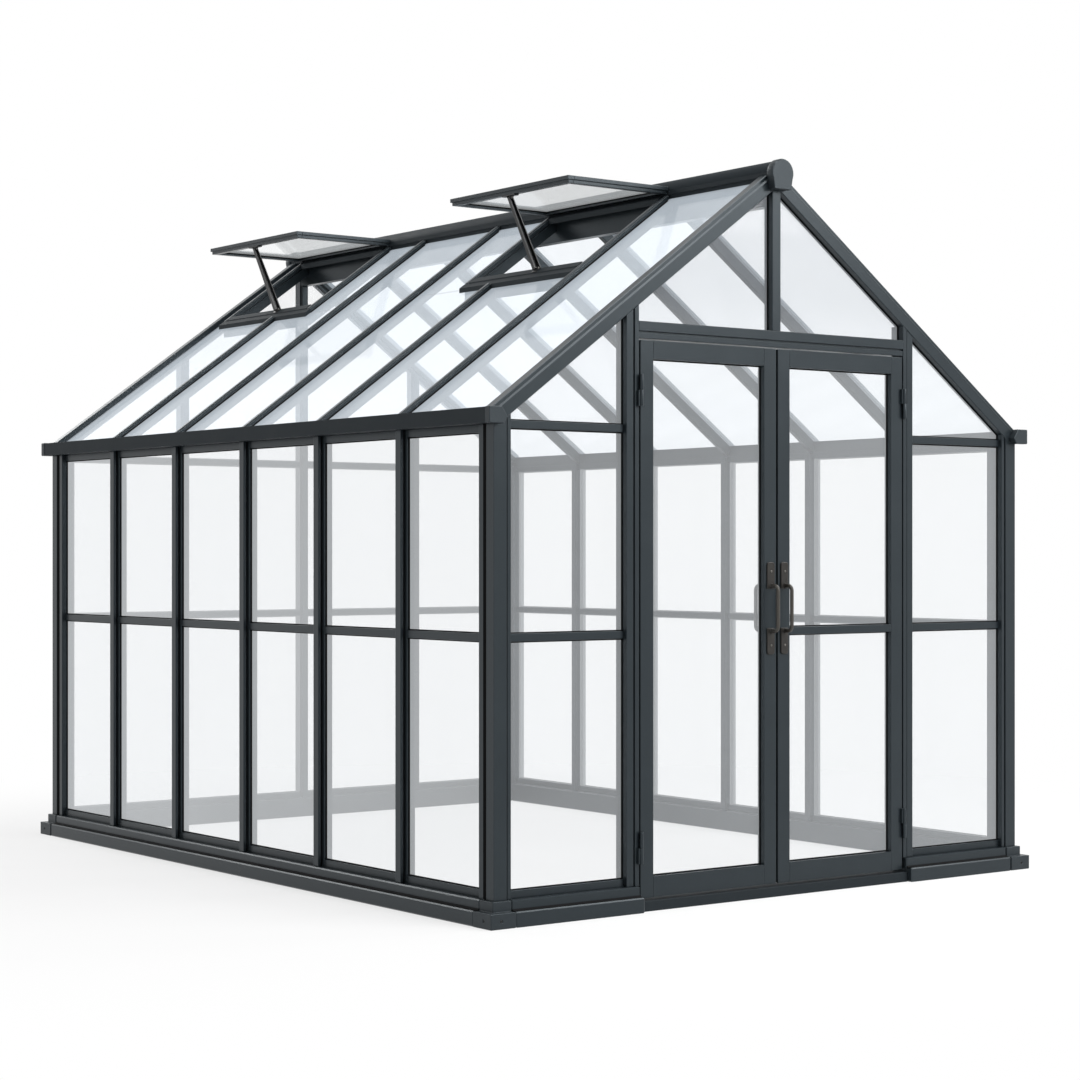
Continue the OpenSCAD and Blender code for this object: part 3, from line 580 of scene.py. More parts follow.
@dataclass(frozen=True)
class ScrewHead:
    """A socket screw head that stands on a face; its rings are shares of its radius and height."""

    radius: float = 0.0042
    height: float = 0.0022
    sink: float = 0.0008
    rings: Profile = ((1.0, 0.45), (0.90, 0.85), (0.72, 1.0), (0.50, 1.0), (0.48, 0.25), (0.20, 0.2))
    hexagons: tuple[int, ...] = (4, 5)
    sides: int = 24

    def add(self, piece: Piece, at: Vector, out: Vector) -> None:
        """Put one head on a piece.

        Args:
            piece: The piece that gets the head.
            at: The point of the face under the head.
            out: The face's normal.
        """
        place = Matrix.Translation(at) @ out.to_track_quat("Z", "Y").to_matrix().to_4x4()
        rings = [(self.radius * r, self.height * h) for r, h in self.rings]
        piece.lathe(place, [(self.radius, -self.sink), *rings], self.sides, self.hexagons)


def islands(node: str) -> list[list[Vector]]:
    """Split a CAD node's mesh into its separate solids.

    Args:
        node: The node's name.

    Returns:
        The corner points of each solid, without doubles.
    """
    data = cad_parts[node].data
    keys = [tuple(round(x, POINT_DIGITS) for x in v.co) for v in data.vertices]
    owner: dict[tuple, tuple] = {}

    def root(key: tuple) -> tuple:
        """Follow a point to the name of its solid.

        Args:
            key: The point.

        Returns:
            The point that names the solid.
        """
        while owner.setdefault(key, key) != key:
            key = owner[key]
        return key

    for polygon in data.polygons:
        first = root(keys[polygon.vertices[0]])
        for index in polygon.vertices[1:]:
            owner[root(keys[index])] = first
    found: dict[tuple, list[Vector]] = {}
    for key in sorted(set(keys)):
        found.setdefault(root(key), []).append(Vector(key))
    return [found[name] for name in sorted(found)]


def extents(points: Loop) -> tuple[Vector, Vector]:
    """The lowest and highest corners of the box round some points."""
    return Vector(map(min, *points)), Vector(map(max, *points))


def mean(points: Loop) -> Vector:
    """The middle of some points."""
    return sum(points, Vector()) / len(points)


def outward(low: Vector, high: Vector, axis: int) -> Vector:
    """Find the way out of the house at a box.

    Args:
        low: The box's lowest corner.
        high: Its highest corner.
        axis: The axis that the way out follows.

    Returns:
        The unit vector along the axis, away from the middle of the house.
    """
    out = Vector((0.0, 0.0, 0.0))
    out[axis] = math.copysign(1.0, (low + high)[axis])
    return out


def edge_frames(corners: Loop, out: Vector) -> list[tuple[Vector, Vector]]:
    """Find the directions of the edges of a flat convex outline.

    Args:
        corners: The outline.
        out: The plane's normal.

    Returns:
        For each edge, the unit vectors along it and into the outline.
    """
    middle = mean(corners)
    found = []
    for i, corner in enumerate(corners):
        along = (corners[(i + 1) % len(corners)] - corner).normalized()
        side = out.cross(along)
        found.append((along, side if side.dot(middle - corner) > 0 else -side))
    return found


def face_outline(points: Loop, out: Vector) -> list[Vector]:
    """Order the corners of the face of a pane that looks out.

    Args:
        points: The pane's corner points.
        out: The normal of the face.

    Returns:
        The face's corners, in order.
    """
    top = max(p.dot(out) for p in points)
    face = [p for p in points if p.dot(out) > top - FLUSH]
    middle = mean(face)
    across = (face[0] - middle).normalized()
    up = out.cross(across)
    return sorted(face, key=lambda p: math.atan2((p - middle).dot(up), (p - middle).dot(across)))


def inset_outline(corners: Loop, out: Vector, cover: Callable[[Vector], float]) -> list[Vector]:
    """Move each edge of a flat convex outline inward by its own cover.

    Args:
        corners: The outline.
        out: The plane's normal.
        cover: Gives the cover of the edge with a given middle point.

    Returns:
        The moved corners.
    """
    lines = []
    for i, (along, side) in enumerate(edge_frames(corners, out)):
        middle = (corners[i] + corners[(i + 1) % len(corners)]) / 2
        lines.append((corners[i] + side * cover(middle), along, side))
    moved = []
    for i, (q, _, n) in enumerate(lines):
        p, d, _ = lines[i - 1]
        moved.append(p + d * ((q - p).dot(n) / d.dot(n)))
    return moved


# Sub-assemblies

@dataclass
class FrameDressing:
    """Finishes and soft edges of the CAD nodes."""

    finishes: FinishSet
    cast_nodes: tuple[str, ...] = ("base_corner_castings", "eave_corner_brackets", "ridge_end_caps")
    handle_nodes: tuple[str, ...] = ("left_door_handles", "right_door_handles")
    hinge_nodes: tuple[str, ...] = (
        "frame_hinge_knuckles", "vent_stays", "left_door_hinges", "right_door_hinges")
    matt_nodes: tuple[str, ...] = ("door_threshold", "vent_curb_rails", "eave_gutters", "ridge_capping")
    edges: dict[str, Edge] = field(default_factory=lambda: {
        "side_base_rails": Edge.BASE, "end_base_rails": Edge.BASE, "gable_rafters": Edge.RAFTER})
    glass_word: str = "glass"
    vent_glass: str = "vent_glass"
    weld_gap: float = 0.00002
    sharp_from: float = 35.0

    def dress(self) -> None:
        """Give each node its finish and its edges."""
        for name, node in sorted(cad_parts.items()):
            material, edge = self._look(name)
            node.data.materials.clear()
            node.data.materials.append(material)
            if edge:
                self._soften(node, edge)
            LOG.info("dressed %s", name)

    def _look(self, name: str) -> tuple[bpy.types.Material, Edge | None]:
        """Choose a node's look.

        Args:
            name: The node's name.

        Returns:
            The finish, and the soft edges where the node has them.
        """
        if self.glass_word in name:
            return self.finishes.vent_glass if name == self.vent_glass else self.finishes.glass, None
        if name in self.handle_nodes:
            return self.finishes.bronze, Edge.CRISP
        if name in self.hinge_nodes:
            return self.finishes.coat, Edge.CRISP
        if name in self.matt_nodes:
            return self.finishes.tread, Edge.PROFILE
        if name in self.cast_nodes:
            return self.finishes.cast, Edge.CAST
        return self.finishes.coat, self.edges.get(name, Edge.PROFILE)

    def _soften(self, node: bpy.types.Object, edge: Edge) -> None:
        """Weld a node's doubled points and round its sharp edges.

        Args:
            node: The CAD node.
            edge: The width of its edges.
        """
        node.modifiers.new("weld", "WELD").merge_threshold = self.weld_gap
        bevel = node.modifiers.new("soft_edges", "BEVEL")
        chamfer = edge in (Edge.BASE, Edge.RAFTER)
        bevel.width = edge.value
        bevel.use_clamp_overlap = not chamfer and edge is not Edge.CAST
        bevel.segments = 1 if chamfer else 2
        bevel.limit_method = "ANGLE"
        bevel.angle_limit = math.radians(self.sharp_from)
        bevel.harden_normals = not chamfer


GASKET_LIP: Profile = ((0.0, 0.0), (0.0, 0.0042), (0.0014, 0.0048), (0.0032, 0.0036), (0.0044, 0.0))


@dataclass
class PaneGaskets:
    """Rubber lips round the outer faces of upright panes."""

    finishes: FinishSet
    bar_cover: float = 0.015
    groove_cover: float = 0.008
    rail_cover: float = 0.006
    leaf_cover: float = 0.007
    open_gap: float = -0.002

    def build(self) -> None:
        """Make one gasket piece for each glass node of the walls and doors."""
        self._ring("side_wall", Body.HOUSE, self._side_cover)
        self._ring("back_wall", Body.HOUSE, self._back_cover)
        self._ring("front_wall", Body.HOUSE, self._front_cover)
        for body in DOORS:
            self._ring(body.value, body, lambda low, high, at: self.leaf_cover)

    def _ring(self, word: str, body: Body, cover: Cover) -> None:
        """Ring every pane of one glass node.

        Args:
            word: The first part of the names of the glass node and the new piece.
            body: The body that carries the piece.
            cover: Gives the depth of glass behind the frame at an edge.
        """
        piece = Piece(f"{word}_gaskets")
        for pane in islands(f"{word}_glass"):
            low, high = extents(pane)
            out = outward(low, high, 0 if high.x - low.x < high.y - low.y else 1)
            sight = inset_outline(face_outline(pane, out), out, lambda at: cover(low, high, at))
            piece.ring(sight, out, GASKET_LIP)
        piece.finish(body, Slot.FRAME, self.finishes.rubber_and_shade)

    def _side_cover(self, low: Vector, high: Vector, at: Vector) -> float:
        """Find the cover of a side wall pane: rails above and below, a bar or a post at the ends.

        Args:
            low: The pane's lowest corner.
            high: Its highest corner.
            at: The middle of the edge.

        Returns:
            The depth of glass behind the frame.
        """
        if min(at.z - low.z, high.z - at.z) < NEAR:
            return self.rail_cover
        return self.groove_cover if abs(at.y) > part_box("side_wall_glass")[1].y - NEAR else self.bar_cover

    def _back_cover(self, low: Vector, high: Vector, at: Vector) -> float:
        """Find the cover of a back wall pane; panes stop short of the sloping rafters.

        Args:
            low: The pane's lowest corner.
            high: Its highest corner.
            at: The middle of the edge.

        Returns:
            The depth of glass behind the frame.
        """
        under_rail = high.z - at.z < NEAR and high.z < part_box("back_wall_rails")[1].z
        if at.z - low.z < NEAR or under_rail:
            return self.rail_cover
        if min(at.x - low.x, high.x - at.x) > NEAR:
            return self.open_gap
        return self.groove_cover if abs(at.x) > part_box("back_wall_glass")[1].x - NEAR else self.bar_cover

    def _front_cover(self, low: Vector, high: Vector, at: Vector) -> float:
        """Find the cover of a front pane; the panes over the doors only butt against their frame.

        Args:
            low: The pane's lowest corner.
            high: Its highest corner.
            at: The middle of the edge.

        Returns:
            The depth of glass behind the frame.
        """
        over_door = low.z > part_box("door_head")[1].z - NEAR
        if at.z - low.z < NEAR:
            return 0.0 if over_door else self.rail_cover
        if min(at.x - low.x, high.x - at.x) > NEAR:
            return self.rail_cover if high.z - at.z < NEAR else self.open_gap
        return self.open_gap if over_door else self.groove_cover


@dataclass
class GrooveShadeStrips:
    """Black strips in the open side grooves of the corner posts, a dark sheet that paints the shade in the
    grooves.
    """

    finishes: FinishSet
    groove_from: float = 0.045
    groove_w: float = 0.019
    groove_depth: float = 0.010
    shade_strip_t: float = 0.0085
    dip: float = 0.6

    def build(self) -> None:
        """Put a painted-shade strip in the side groove of each corner post."""
        piece = Piece("corner_groove_shade_strips")
        low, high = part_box("corner_posts")
        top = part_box("eave_beams")[0].z
        half, crest, hollow = self.groove_w / 2, self.shade_strip_t, self.shade_strip_t * self.dip
        profile = ((-half, 0.0), (-half, crest), (-half / 2, hollow), (0.0, crest), (half / 2, hollow),
                   (half, crest), (half, 0.0))
        for sx in SIGNS:
            for sy in SIGNS:
                x, y = sx * (high.x - self.groove_depth), sy * (high.y - self.groove_from - half)
                piece.strip(Vector((x, y, low.z)), Vector((x, y, top)), Y_AXIS, X_AXIS * sx, profile)
        piece.finish(Body.HOUSE, Slot.FRAME, self.finishes.rubber_and_shade)


@dataclass
class BarRecessShadeStrips:
    """Black strips in the recess behind the caps of the wall bars, a dark sheet that paints the shade in the
    recess.
    """

    finishes: FinishSet
    cap_depth: float = 0.013
    neck_depth: float = 0.019
    neck_half: float = 0.010
    fill: float = 0.0045
    ease: float = 0.0008
    foot_zone: float = 0.1
    top_gap: float = 0.002

    def build(self) -> None:
        """Put painted-shade strips in the recesses of the bars of the side walls and the back wall."""
        piece = Piece("bar_recess_shade_strips")
        profile = ((0.0, self.cap_depth), (self.fill, self.cap_depth + self.ease),
                   (self.fill, self.neck_depth - self.ease), (0.0, self.neck_depth))
        for node, axis, along in (("side_wall_bars", 0, Y_AXIS), ("back_wall_bars", 1, X_AXIS)):
            for bar in islands(node):
                low, high = extents(bar)
                out = outward(low, high, axis)
                for hand in SIGNS:
                    foot = (low + high) / 2 + along * hand * self.neck_half
                    foot[axis] = high[axis] if out[axis] > 0 else low[axis]
                    top = foot.copy()
                    foot.z = low.z
                    top.z = min(p.z for p in bar if p.z > low.z + self.foot_zone) - self.top_gap
                    piece.strip(foot, top, along * hand, -out, profile)
        piece.finish(Body.HOUSE, Slot.FRAME, self.finishes.rubber_and_shade)


@dataclass(frozen=True)
class RoofPlane:
    """The outer face of one slope's glass."""

    top: Vector
    down: Vector
    out: Vector

    @classmethod
    def of(cls, glass: str, side: int) -> "RoofPlane":
        """Measure a slope on its glass node.

        Args:
            glass: The glass node.
            side: -1 for the left slope, 1 for the right one.

        Returns:
            The slope, measured on its longest pane.
        """
        panes = [(min(abs(p.x) for p in pane), max(abs(p.x) for p in pane), pane) for pane in islands(glass)]
        near, far, pane = max(panes, key=lambda row: row[1] - row[0])
        top = max(p.z for p in pane if abs(p.x) < near + FLUSH)
        foot = max(p.z for p in pane if abs(p.x) > far - FLUSH)
        down = Vector((side * (far - near), 0.0, foot - top)).normalized()
        return cls(Vector((side * near, 0.0, top)), down, Vector((-side * down.z, 0.0, side * down.x)))

    def at(self, x: float, y: float) -> Vector:
        """The point of the face at an X and a Y."""
        return Vector((x, y, self.top.z + (x - self.top.x) * self.down.z / self.down.x))


@dataclass
class RoofSeals:
    """Rubber strips along the caps of the roof bars and round the vent panes."""

    finishes: FinishSet
    cap_half: float = 0.017
    lip: float = 0.0042
    lift: float = 0.0044
    crest: float = 0.4
    ridge_in: float = 0.050
    end_gap: float = 0.001
    leaf_cover: float = 0.008
    short_from: float = 0.1
    probe: float = 0.1
    vent_slack: float = 0.05

    def build(self) -> None:
        """Seal both slopes and the vents."""
        profile = ((0.0, 0.0), (0.0, self.lift), (self.lip * self.crest, self.lift), (self.lip, 0.0))
        for side, word in ((-1, "left"), (1, "right")):
            plane = RoofPlane.of(f"{word}_roof_glass", side)
            piece = Piece(f"{word}_roof_seals")
            for bar in islands(f"{word}_roof_bars"):
                low, high = extents(bar)
                middle = (low.y + high.y) / 2
                near, far = sorted((abs(low.x), abs(high.x)))
                start, end = side * max(near, self.ridge_in), side * (far - self.end_gap)
                for hand in SIGNS:
                    if side < 0 and near <= self.short_from and self._open(middle + hand * self.probe):
                        continue
                    y = middle + hand * self.cap_half
                    piece.strip(plane.at(start, y), plane.at(end, y), Y_AXIS * hand, plane.out, profile)
            piece.finish(Body.HOUSE, Slot.FRAME, self.finishes.rubber_and_shade)
        self._vents()

    def _open(self, y: float) -> bool:
        """Whether a vent's hole and not glass lies at a Y of the left slope's upper part."""
        spans = [extents(pane) for pane in islands("vent_glass")]
        return any(low.y - self.vent_slack < y < high.y + self.vent_slack for low, high in spans)

    def _vents(self) -> None:
        """Ring the vent panes above and below."""
        piece = Piece("vent_seals")
        for pane in islands("vent_glass"):
            for out in (Z_AXIS, -Z_AXIS):
                sight = inset_outline(face_outline(pane, out), out, lambda at: self.leaf_cover)
                piece.ring(sight, out, GASKET_LIP)
        piece.finish(Body.HOUSE, Slot.FRAME, self.finishes.rubber_and_shade)


@dataclass
class StayBars:
    """Channel bars that hold the vents open, each with a bracket under the sash and a shoe on the curb."""

    finishes: FinishSet
    foot_half: tuple[float, float] = (0.0150, 0.0085)
    head_half: tuple[float, float] = (0.0095, 0.0070)
    wall: float = 0.0034
    bracket_half: tuple[float, float] = (0.011, 0.042)
    bracket_t: float = 0.006
    bracket_flat: float = 0.7
    bracket_root: float = 0.8
    shoe_t: float = 0.005
    shoe_rim: float = 0.003
    shoe_root: float = 0.006
    shoulder: float = 0.6
    ear_gap: float = 0.0012
    ear_t: float = 0.0026
    ear_half: float = 0.010
    ear_round: Profile = ((0.0075, 0.002), (0.0035, 0.006), (-0.0035, 0.006), (-0.0075, 0.002))
    pivot_drop: float = 0.009
    pad_zone: float = 0.05
    pad_flush: float = 0.0003
    pin: ScrewHead = field(default_factory=lambda: ScrewHead(0.0040, 0.0024, 0.010))

    def build(self) -> None:
        """Make the bars in place of the plain stays, and their pins."""
        bars, pins = Piece("vent_stay_bars"), Piece("stay_pins")
        for stay in islands("vent_stays"):
            top = max(p.z for p in stay)
            pad = self._pad(stay)
            foot = mean(pad)
            head = mean([p for p in stay if p.z > top - FLUSH]) - Z_AXIS * self.pivot_drop
            self._bar(bars, foot, head)
            self._bracket(bars, head, top)
            self._shoe(bars, pad, foot)
            for at, half in ((foot, self.foot_half), (head, self.head_half)):
                edge = half[1] + self.ear_gap + self.ear_t
                for hand in SIGNS:
                    self.pin.add(pins, at + Y_AXIS * hand * edge, Vector((0.0, hand, 0.0)))
        made = bars.finish(Body.HOUSE, Slot.FITTINGS, self.finishes.steel)
        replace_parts(made, "vent_stays")
        pins.finish(Body.HOUSE, Slot.FITTINGS, self.finishes.screw)

    def _pad(self, stay: Loop) -> list[Vector]:
        """Find the pad that a stay stands on.

        Args:
            stay: The stay's points.

        Returns:
            The pad's corners.
        """
        foot = min(p.z for p in stay)
        low = [p for p in stay if p.z < foot + self.pad_zone]
        sides = (min(p.y for p in low), max(p.y for p in low))
        return [p for p in low if min(abs(p.y - y) for y in sides) < self.pad_flush]

    def _bar(self, piece: Piece, foot: Vector, head: Vector) -> None:
        """Loft the tapered channel between its pivots, open to the front.

        Args:
            piece: The piece that gets the bar.
            foot: The pivot on the curb.
            head: The pivot under the sash.
        """
        along = (head - foot).normalized()
        front = (Y_AXIS - along * Y_AXIS.dot(along)).normalized()
        side = front.cross(along)
        loops = []
        for at, (w, t) in ((foot, self.foot_half), (head, self.head_half)):
            inner, back = w - self.wall, t - self.wall
            outline = ((-w, -t), (-w, t), (w, t), (w, -t), (inner, -t), (inner, back), (-inner, back),
                       (-inner, -t))
            loops.append([at + side * u + front * v for u, v in outline])
        piece.loft(loops)

    def _ears(self, piece: Piece, at: Vector, half: float, up: Vector, root: float) -> None:
        """Put an ear on both sides of a pivot, from its root to round the pin.

        Args:
            piece: The piece that gets the ears.
            at: The pivot.
            half: Half the thickness of the bar between the ears.
            up: The direction from the root to the pin.
            root: The distance from the pin to the root.
        """
        profile = ((-self.ear_half, -root), (self.ear_half, -root), *self.ear_round)
        near = half + self.ear_gap
        for hand in SIGNS:
            across = Y_AXIS * hand
            piece.strip(at + across * near, at + across * (near + self.ear_t), X_AXIS, up, profile)

    def _bracket(self, piece: Piece, head: Vector, top: float) -> None:
        """Put the bracket under the sash.

        Args:
            piece: The piece that gets the bracket.
            head: The upper pivot.
            top: The height of the sash's lower face.
        """
        (w, reach), t = self.bracket_half, self.bracket_t
        flat, low = self.bracket_flat * w, -self.shoulder * t
        profile = ((-w, 0.0), (-w, low), (-flat, -t), (flat, -t), (w, low), (w, 0.0))
        seat, run = Vector((head.x, head.y, top)), Y_AXIS * reach
        piece.strip(seat - run, seat + run, X_AXIS, Z_AXIS, profile)
        self._ears(piece, head, self.head_half[1], -Z_AXIS, self.pivot_drop - self.bracket_root * t)

    def _shoe(self, piece: Piece, pad: Loop, foot: Vector) -> None:
        """Put the shoe on the curb.

        Args:
            piece: The piece that gets the shoe.
            pad: The corners of the CAD stay's pad.
            foot: The lower pivot.
        """
        left = min(pad, key=lambda p: (round(p.x, EDGE_DIGITS), p.z))
        right = max(pad, key=lambda p: (round(p.x, EDGE_DIGITS), -p.z))
        slope = Vector((right.x - left.x, 0.0, right.z - left.z)).normalized()
        out = Vector((-slope.z, 0.0, slope.x))
        outline = face_outline([p for p in pad if (p - left).dot(out) < FLUSH], out)
        inner = inset_outline(outline, out, lambda at: self.shoe_rim)
        rise = out * self.shoe_t
        piece.loft([outline, [p + rise * self.shoulder for p in outline], [p + rise for p in inner]])
        self._ears(piece, foot, self.foot_half[1], Z_AXIS, self.shoe_root)


@dataclass
class LedgeShadeStrips:
    """Black strips in the step between the plinth and the sill of the base rails, painted shade of the step."""

    finishes: FinishSet
    edge_in: float = 0.0070
    foot_t: float = 0.0012
    cove: float = 0.0056
    sunk: float = 0.0004

    def build(self) -> None:
        """Lay one painted-shade strip on each base rail."""
        piece = Piece("base_ledge_shade_strips")
        for rail in islands("side_base_rails") + islands("end_base_rails"):
            low, high = extents(rail)
            axis = 0 if high.x - low.x < high.y - low.y else 1
            out = outward(low, high, axis)
            face = max(p.dot(out) for p in rail)
            ledge = face - max(p.dot(out) for p in rail if p.z > high.z - FLUSH)
            start, end = low.copy(), high.copy()
            start[axis] = end[axis] = out[axis] * face
            start.z = end.z = min(p.z for p in rail if p.z > low.z + FLUSH)
            back = ledge + self.sunk
            profile = ((self.edge_in, -self.sunk), (self.edge_in, self.foot_t),
                       (ledge - self.cove, self.foot_t), (ledge - self.foot_t, self.cove),
                       (back, self.cove), (back, -self.sunk))
            piece.strip(start, end, -out, Z_AXIS, profile)
        piece.finish(Body.HOUSE, Slot.FRAME, self.finishes.rubber_and_shade)


@dataclass
class BaseBolts:
    """Socket bolts sunk in the holes of the base castings."""

    finishes: FinishSet
    hole_in: float = 0.044
    hole_z: float = 0.027
    sunk: float = 0.004
    head: ScrewHead = field(default_factory=lambda: ScrewHead(0.0042, 0.003, 0.008))

    def build(self) -> None:
        """Put a bolt in both holes of each casting."""
        piece = Piece("base_bolts")
        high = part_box("base_corner_castings")[1]
        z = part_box("door_threshold")[0].z + self.hole_z
        for sx in SIGNS:
            for sy in SIGNS:
                for x_in, y_in, out in ((self.sunk, self.hole_in, (sx, 0.0, 0.0)),
                                        (self.hole_in, self.sunk, (0.0, sy, 0.0))):
                    self.head.add(piece, Vector((sx * (high.x - x_in), sy * (high.y - y_in), z)), Vector(out))
        piece.finish(Body.HOUSE, Slot.FRAME, self.finishes.steel)


@dataclass
class PullHandles:
    """Forged pulls on both faces of the leaves: two lugs each and a round grip that spans them.

    rim_steps are shares of rim and lug_t, feet are distances from the leaf with the swell of the grip there,
    and stops are the heights of the sections along the grip's straight part.
    """

    finishes: FinishSet
    lug_half: float = 0.018
    lug_t: float = 0.006
    lug_from: float = 0.072
    outer_round: float = 0.011
    inner_round: float = 0.004
    rim: float = 0.0018
    rim_steps: Profile = ((0.0, 0.0), (0.0, 0.6), (0.45, 0.88), (1.0, 1.0))
    grip_r: float = 0.007
    foot_z: float = 0.083
    feet: Profile = ((0.004, 1.55), (0.0075, 1.38), (0.011, 1.12), (0.016, 1.0))
    stops: tuple[float, ...] = (0.045, 0.022)
    bend_r: float = 0.018
    bend_steps: int = 7
    sides: int = 20
    smooth: float = 30.0

    def build(self) -> None:
        """Make the pulls of both leaves in place of the plain ones."""
        for body in DOORS:
            node = f"{body.value}_handles"
            low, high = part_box(node)
            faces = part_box(f"{body.value}_stiles")
            middle = (low + high) / 2
            piece = Piece(f"{body.value}_pulls")
            for face, end in ((faces[0].y, low.y), (faces[1].y, high.y)):
                seat = Vector((middle.x, face, middle.z))
                out = Y_AXIS * math.copysign(1.0, end - face)
                for up in SIGNS:
                    self._lug(piece, seat, out, up, (high.z - low.z) / 2)
                self._grip(piece, seat, out, abs(end - face) - self.grip_r)
            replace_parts(piece.finish(body, Slot.FITTINGS, self.finishes.bronze, self.smooth), node)

    def _quarter(self, start: float) -> list[tuple[float, float]]:
        """Cosines and sines of a quarter turn from a start in quarters."""
        turns = [math.pi / 2 * (start + k / (self.bend_steps - 1)) for k in range(self.bend_steps)]
        return [(math.cos(turn), math.sin(turn)) for turn in turns]

    def _lug(self, piece: Piece, seat: Vector, out: Vector, up: int, top: float) -> None:
        """Put one lug on a leaf, rounded at its ends and along its rim.

        Args:
            piece: The piece that gets the lug.
            seat: The point of the leaf's face behind the middle of the grip.
            out: The face's normal.
            up: 1 for the upper lug, -1 for the lower one.
            top: The height of the lug's outer end above the middle.
        """
        w, middle = self.lug_half, (self.lug_from + top) / 2
        far, near = (top, 1, self.outer_round), (self.lug_from, -1, self.inner_round)
        outline = []
        for start, (hand, (end, sign, r)) in enumerate(((1, far), (-1, far), (-1, near), (1, near))):
            outline += [(hand * (w - r) + r * c, end - sign * r + r * s) for c, s in self._quarter(start)]
        loops = []
        for inset, rise in self.rim_steps:
            narrow, short = 1 - inset * self.rim / w, 1 - inset * self.rim / (top - middle)
            loops.append([seat + X_AXIS * u * narrow + Z_AXIS * up * (middle + (v - middle) * short)
                          + out * rise * self.lug_t for u, v in outline])
        piece.loft(loops)

    def _grip(self, piece: Piece, seat: Vector, out: Vector, reach: float) -> None:
        """Sweep the grip from foot to foot, flared at the lugs.

        Args:
            piece: The piece that gets the grip.
            seat: The point of the leaf's face behind the middle of the grip.
            out: The face's normal.
            reach: The distance from the face to the middle of the grip's section.
        """
        half = [(away, self.foot_z, swell) for away, swell in self.feet]
        half += [(reach + self.bend_r * (s - 1), self.foot_z + self.bend_r * (c - 1), 1.0)
                 for c, s in self._quarter(0)]
        half += [(reach, z, 1.0) for z in self.stops]
        path = half + [(reach, 0.0, 1.0)] + [(away, -z, swell) for away, z, swell in reversed(half)]
        points = [seat + out * away + Z_AXIS * z for away, z, _ in path]
        turns = [2 * math.pi * k / self.sides for k in range(self.sides)]
        loops = []
        for i, (_, _, swell) in enumerate(path):
            along = (points[min(i + 1, len(points) - 1)] - points[max(i - 1, 0)]).normalized()
            normal, r = X_AXIS.cross(along), self.grip_r * swell
            loops.append([points[i] + X_AXIS * r * math.cos(t) + normal * r * math.sin(t) for t in turns])
        piece.loft(loops)


@dataclass
class DoorScrews:
    """Screws in the lugs of the pulls."""

    finishes: FinishSet
    lug_in: float = 0.034
    lug_t: float = 0.006
    head: ScrewHead = field(default_factory=ScrewHead)

    def build(self) -> None:
        """Put screws on both faces of both leaves."""
        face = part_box("left_door_stiles")[0].y
        for body in DOORS:
            piece = Piece(f"{body.value}_handle_screws")
            low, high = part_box(f"{body.value}_handles")
            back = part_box(f"{body.value}_stiles")[1].y
            x = (low.x + high.x) / 2
            for z in (low.z + self.lug_in, high.z - self.lug_in):
                for y, way in ((face - self.lug_t, -1.0), (back + self.lug_t, 1.0)):
                    self.head.add(piece, Vector((x, y, z)), Vector((0.0, way, 0.0)))
            piece.finish(body, Slot.FITTINGS, self.finishes.screw)


@dataclass(frozen=True)
class Softbox:
    """A square lamp that hangs at a place and looks at a point."""

    name: str
    place: Place
    aim: Place
    size: float
    watts: float

    def hang(self) -> None:
        """Put the lamp into the scene."""
        data = bpy.data.lights.new(self.name, "AREA")
        data.size = self.size
        data.energy = self.watts
        lamp = put(self.name, data)
        lamp.location = self.place
        lamp.rotation_mode = "QUATERNION"
        lamp.rotation_quaternion = (Vector(self.aim) - Vector(self.place)).to_track_quat("-Z", "Y")


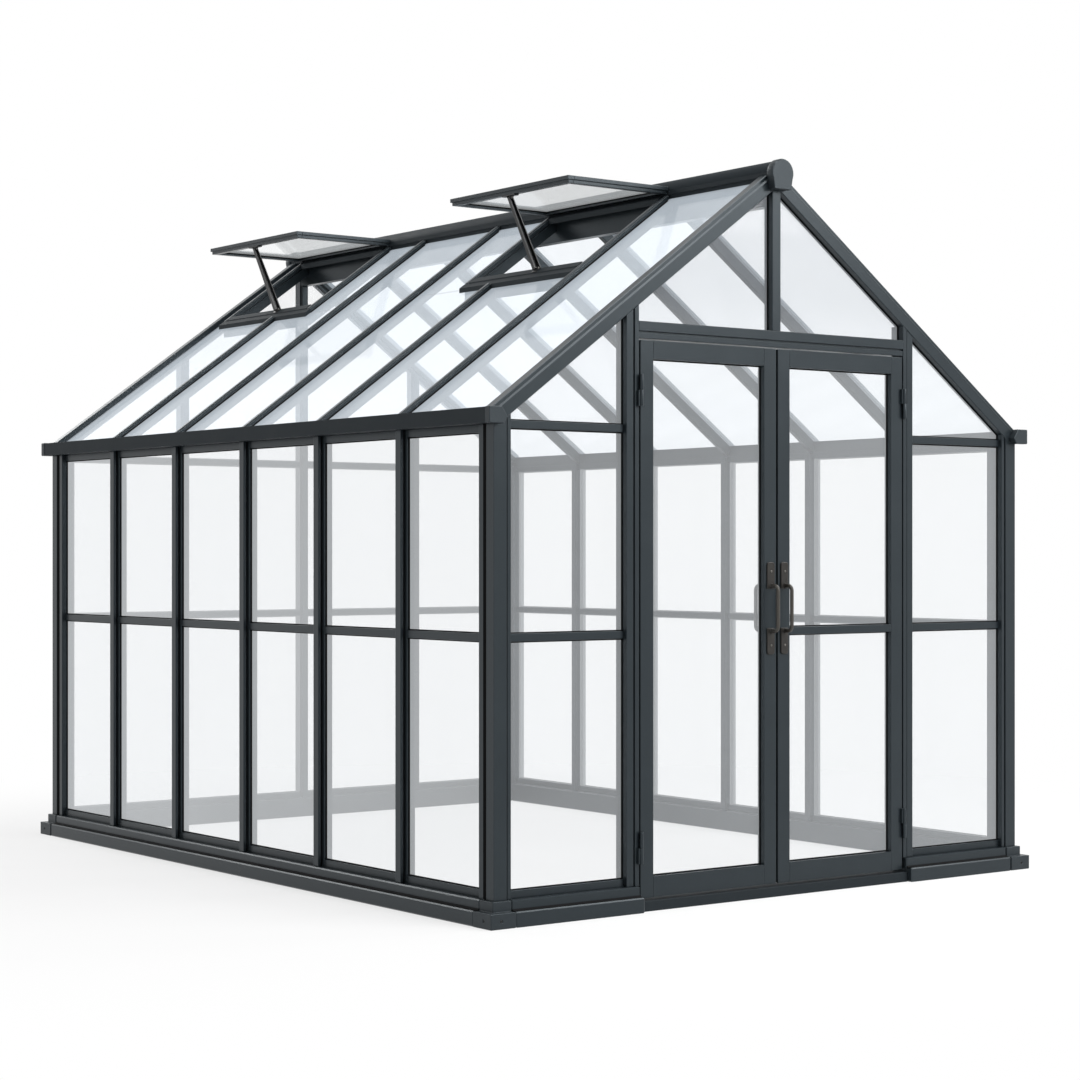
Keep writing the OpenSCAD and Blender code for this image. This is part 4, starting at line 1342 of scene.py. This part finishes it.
@dataclass
class Studio:
    """Floor, world, lamps and the camera at the photograph's view."""

    eye: Place = (-6.004, -8.260, 1.263)
    heading: tuple[float, float] = (0.5994, 0.8005)
    lens: float = 80.1
    sensor: float = 36.0
    rise: float = 0.0119
    floor_half: float = 60.0
    floor_tone: Colour = (0.78, 0.78, 0.78)
    floor_glow: tuple[float, float] = (0.64, 1.0)
    floor_fade: tuple[float, float] = (1.2, 4.2)
    sky_tone: Colour = (1.0, 1.0, 1.0)
    sky_light: float = 0.42
    lamps: tuple[Softbox, ...] = (
        Softbox("key_softbox", (3.0, -7.5, 5.7), aim=(0.0, -0.4, 1.2), size=5.0, watts=580.0),
        Softbox("left_fill", (-8.0, -2.0, 4.0), aim=(0.0, 0.0, 1.2), size=5.0, watts=40.0),
        Softbox("top_softbox", (-0.6, -3.0, 7.5), aim=(0.0, -1.2, 1.8), size=2.5, watts=150.0),
        Softbox("edge_softbox", (5.5, -1.7, 7.0), aim=(0.0, -1.5, 0.6), size=3.6, watts=300.0),
        Softbox("rim_softbox", (-1.5, 8.0, 6.0), aim=(-0.6, 0.0, 0.8), size=3.2, watts=180.0))

    def build(self) -> None:
        """Make the stage, the light and the camera."""
        self._floor()
        self._world()
        for lamp in self.lamps:
            lamp.hang()
        self._camera()
        bpy.context.scene.view_settings.view_transform = "Standard"

    @staticmethod
    def _seen(graph: Graph) -> Socket:
        """Build the mask of the rays that show the background.

        Args:
            graph: The graph of the floor or the world.

        Returns:
            1 for camera, glossy and transmission rays.
        """
        path = graph.add("ShaderNodeLightPath").outputs
        mirror = graph.math("MAXIMUM", path["Is Glossy Ray"], path["Is Transmission Ray"])
        return graph.math("MAXIMUM", path["Is Camera Ray"], mirror)

    def _floor(self) -> None:
        """Lay a wide pale floor that keeps the soft shadow and fades to white away from the house."""
        half = self.floor_half
        data = bpy.data.meshes.new("studio_floor")
        data.from_pydata([(-half, -half, 0), (half, -half, 0), (half, half, 0), (-half, half, 0)], [],
                         [(0, 1, 2, 3)])
        floor = put("studio_floor", data)
        material, graph, shader = start_material("studio_floor")
        graph.tree.nodes.remove(shader)
        away = graph.add("ShaderNodeVectorMath", {0: graph.place()}, operation="LENGTH").outputs["Value"]
        white = graph.ramp(away, *self.floor_fade, *self.floor_glow)
        matte = graph.add("ShaderNodeBsdfDiffuse", {"Color": self.floor_tone})
        mix = graph.add("ShaderNodeMixShader", {
            "Fac": graph.math("MULTIPLY", self._seen(graph), white),
            1: matte.outputs["BSDF"],
            2: graph.add("ShaderNodeEmission").outputs["Emission"]})
        graph.feed(graph.tree.nodes["Material Output"], {"Surface": mix.outputs["Shader"]})
        data.materials.append(material)

    def _world(self) -> None:
        """Surround the stage with white that lights it softly."""
        world = bpy.data.worlds.new("studio_world")
        world.use_nodes = True
        bpy.context.scene.world = world
        graph = Graph(world.node_tree)
        graph.feed(graph.tree.nodes["Background"], {
            "Color": self.sky_tone, "Strength": graph.spread(self._seen(graph), self.sky_light, 1.0)})

    def _camera(self) -> None:
        """Set the level camera at the photograph's place."""
        data = bpy.data.cameras.new("photo_camera")
        data.lens = self.lens
        data.sensor_width = self.sensor
        data.shift_y = self.rise
        camera = put("photo_camera", data)
        camera.location = self.eye
        camera.rotation_euler = (math.pi / 2, 0.0, -math.atan2(*self.heading))
        bpy.context.scene.camera = camera


def main() -> None:
    """Build every sub-assembly in order."""
    logging.basicConfig(level=logging.INFO, format="%(name)s: %(message)s")
    finishes = FinishSet.make()
    FrameDressing(finishes).dress()
    for assembly in (PaneGaskets, GrooveShadeStrips, BarRecessShadeStrips, RoofSeals, StayBars, LedgeShadeStrips, BaseBolts,
                     PullHandles, DoorScrews):
        assembly(finishes).build()
    Studio().build()


if __name__ == "__main__":
    main()
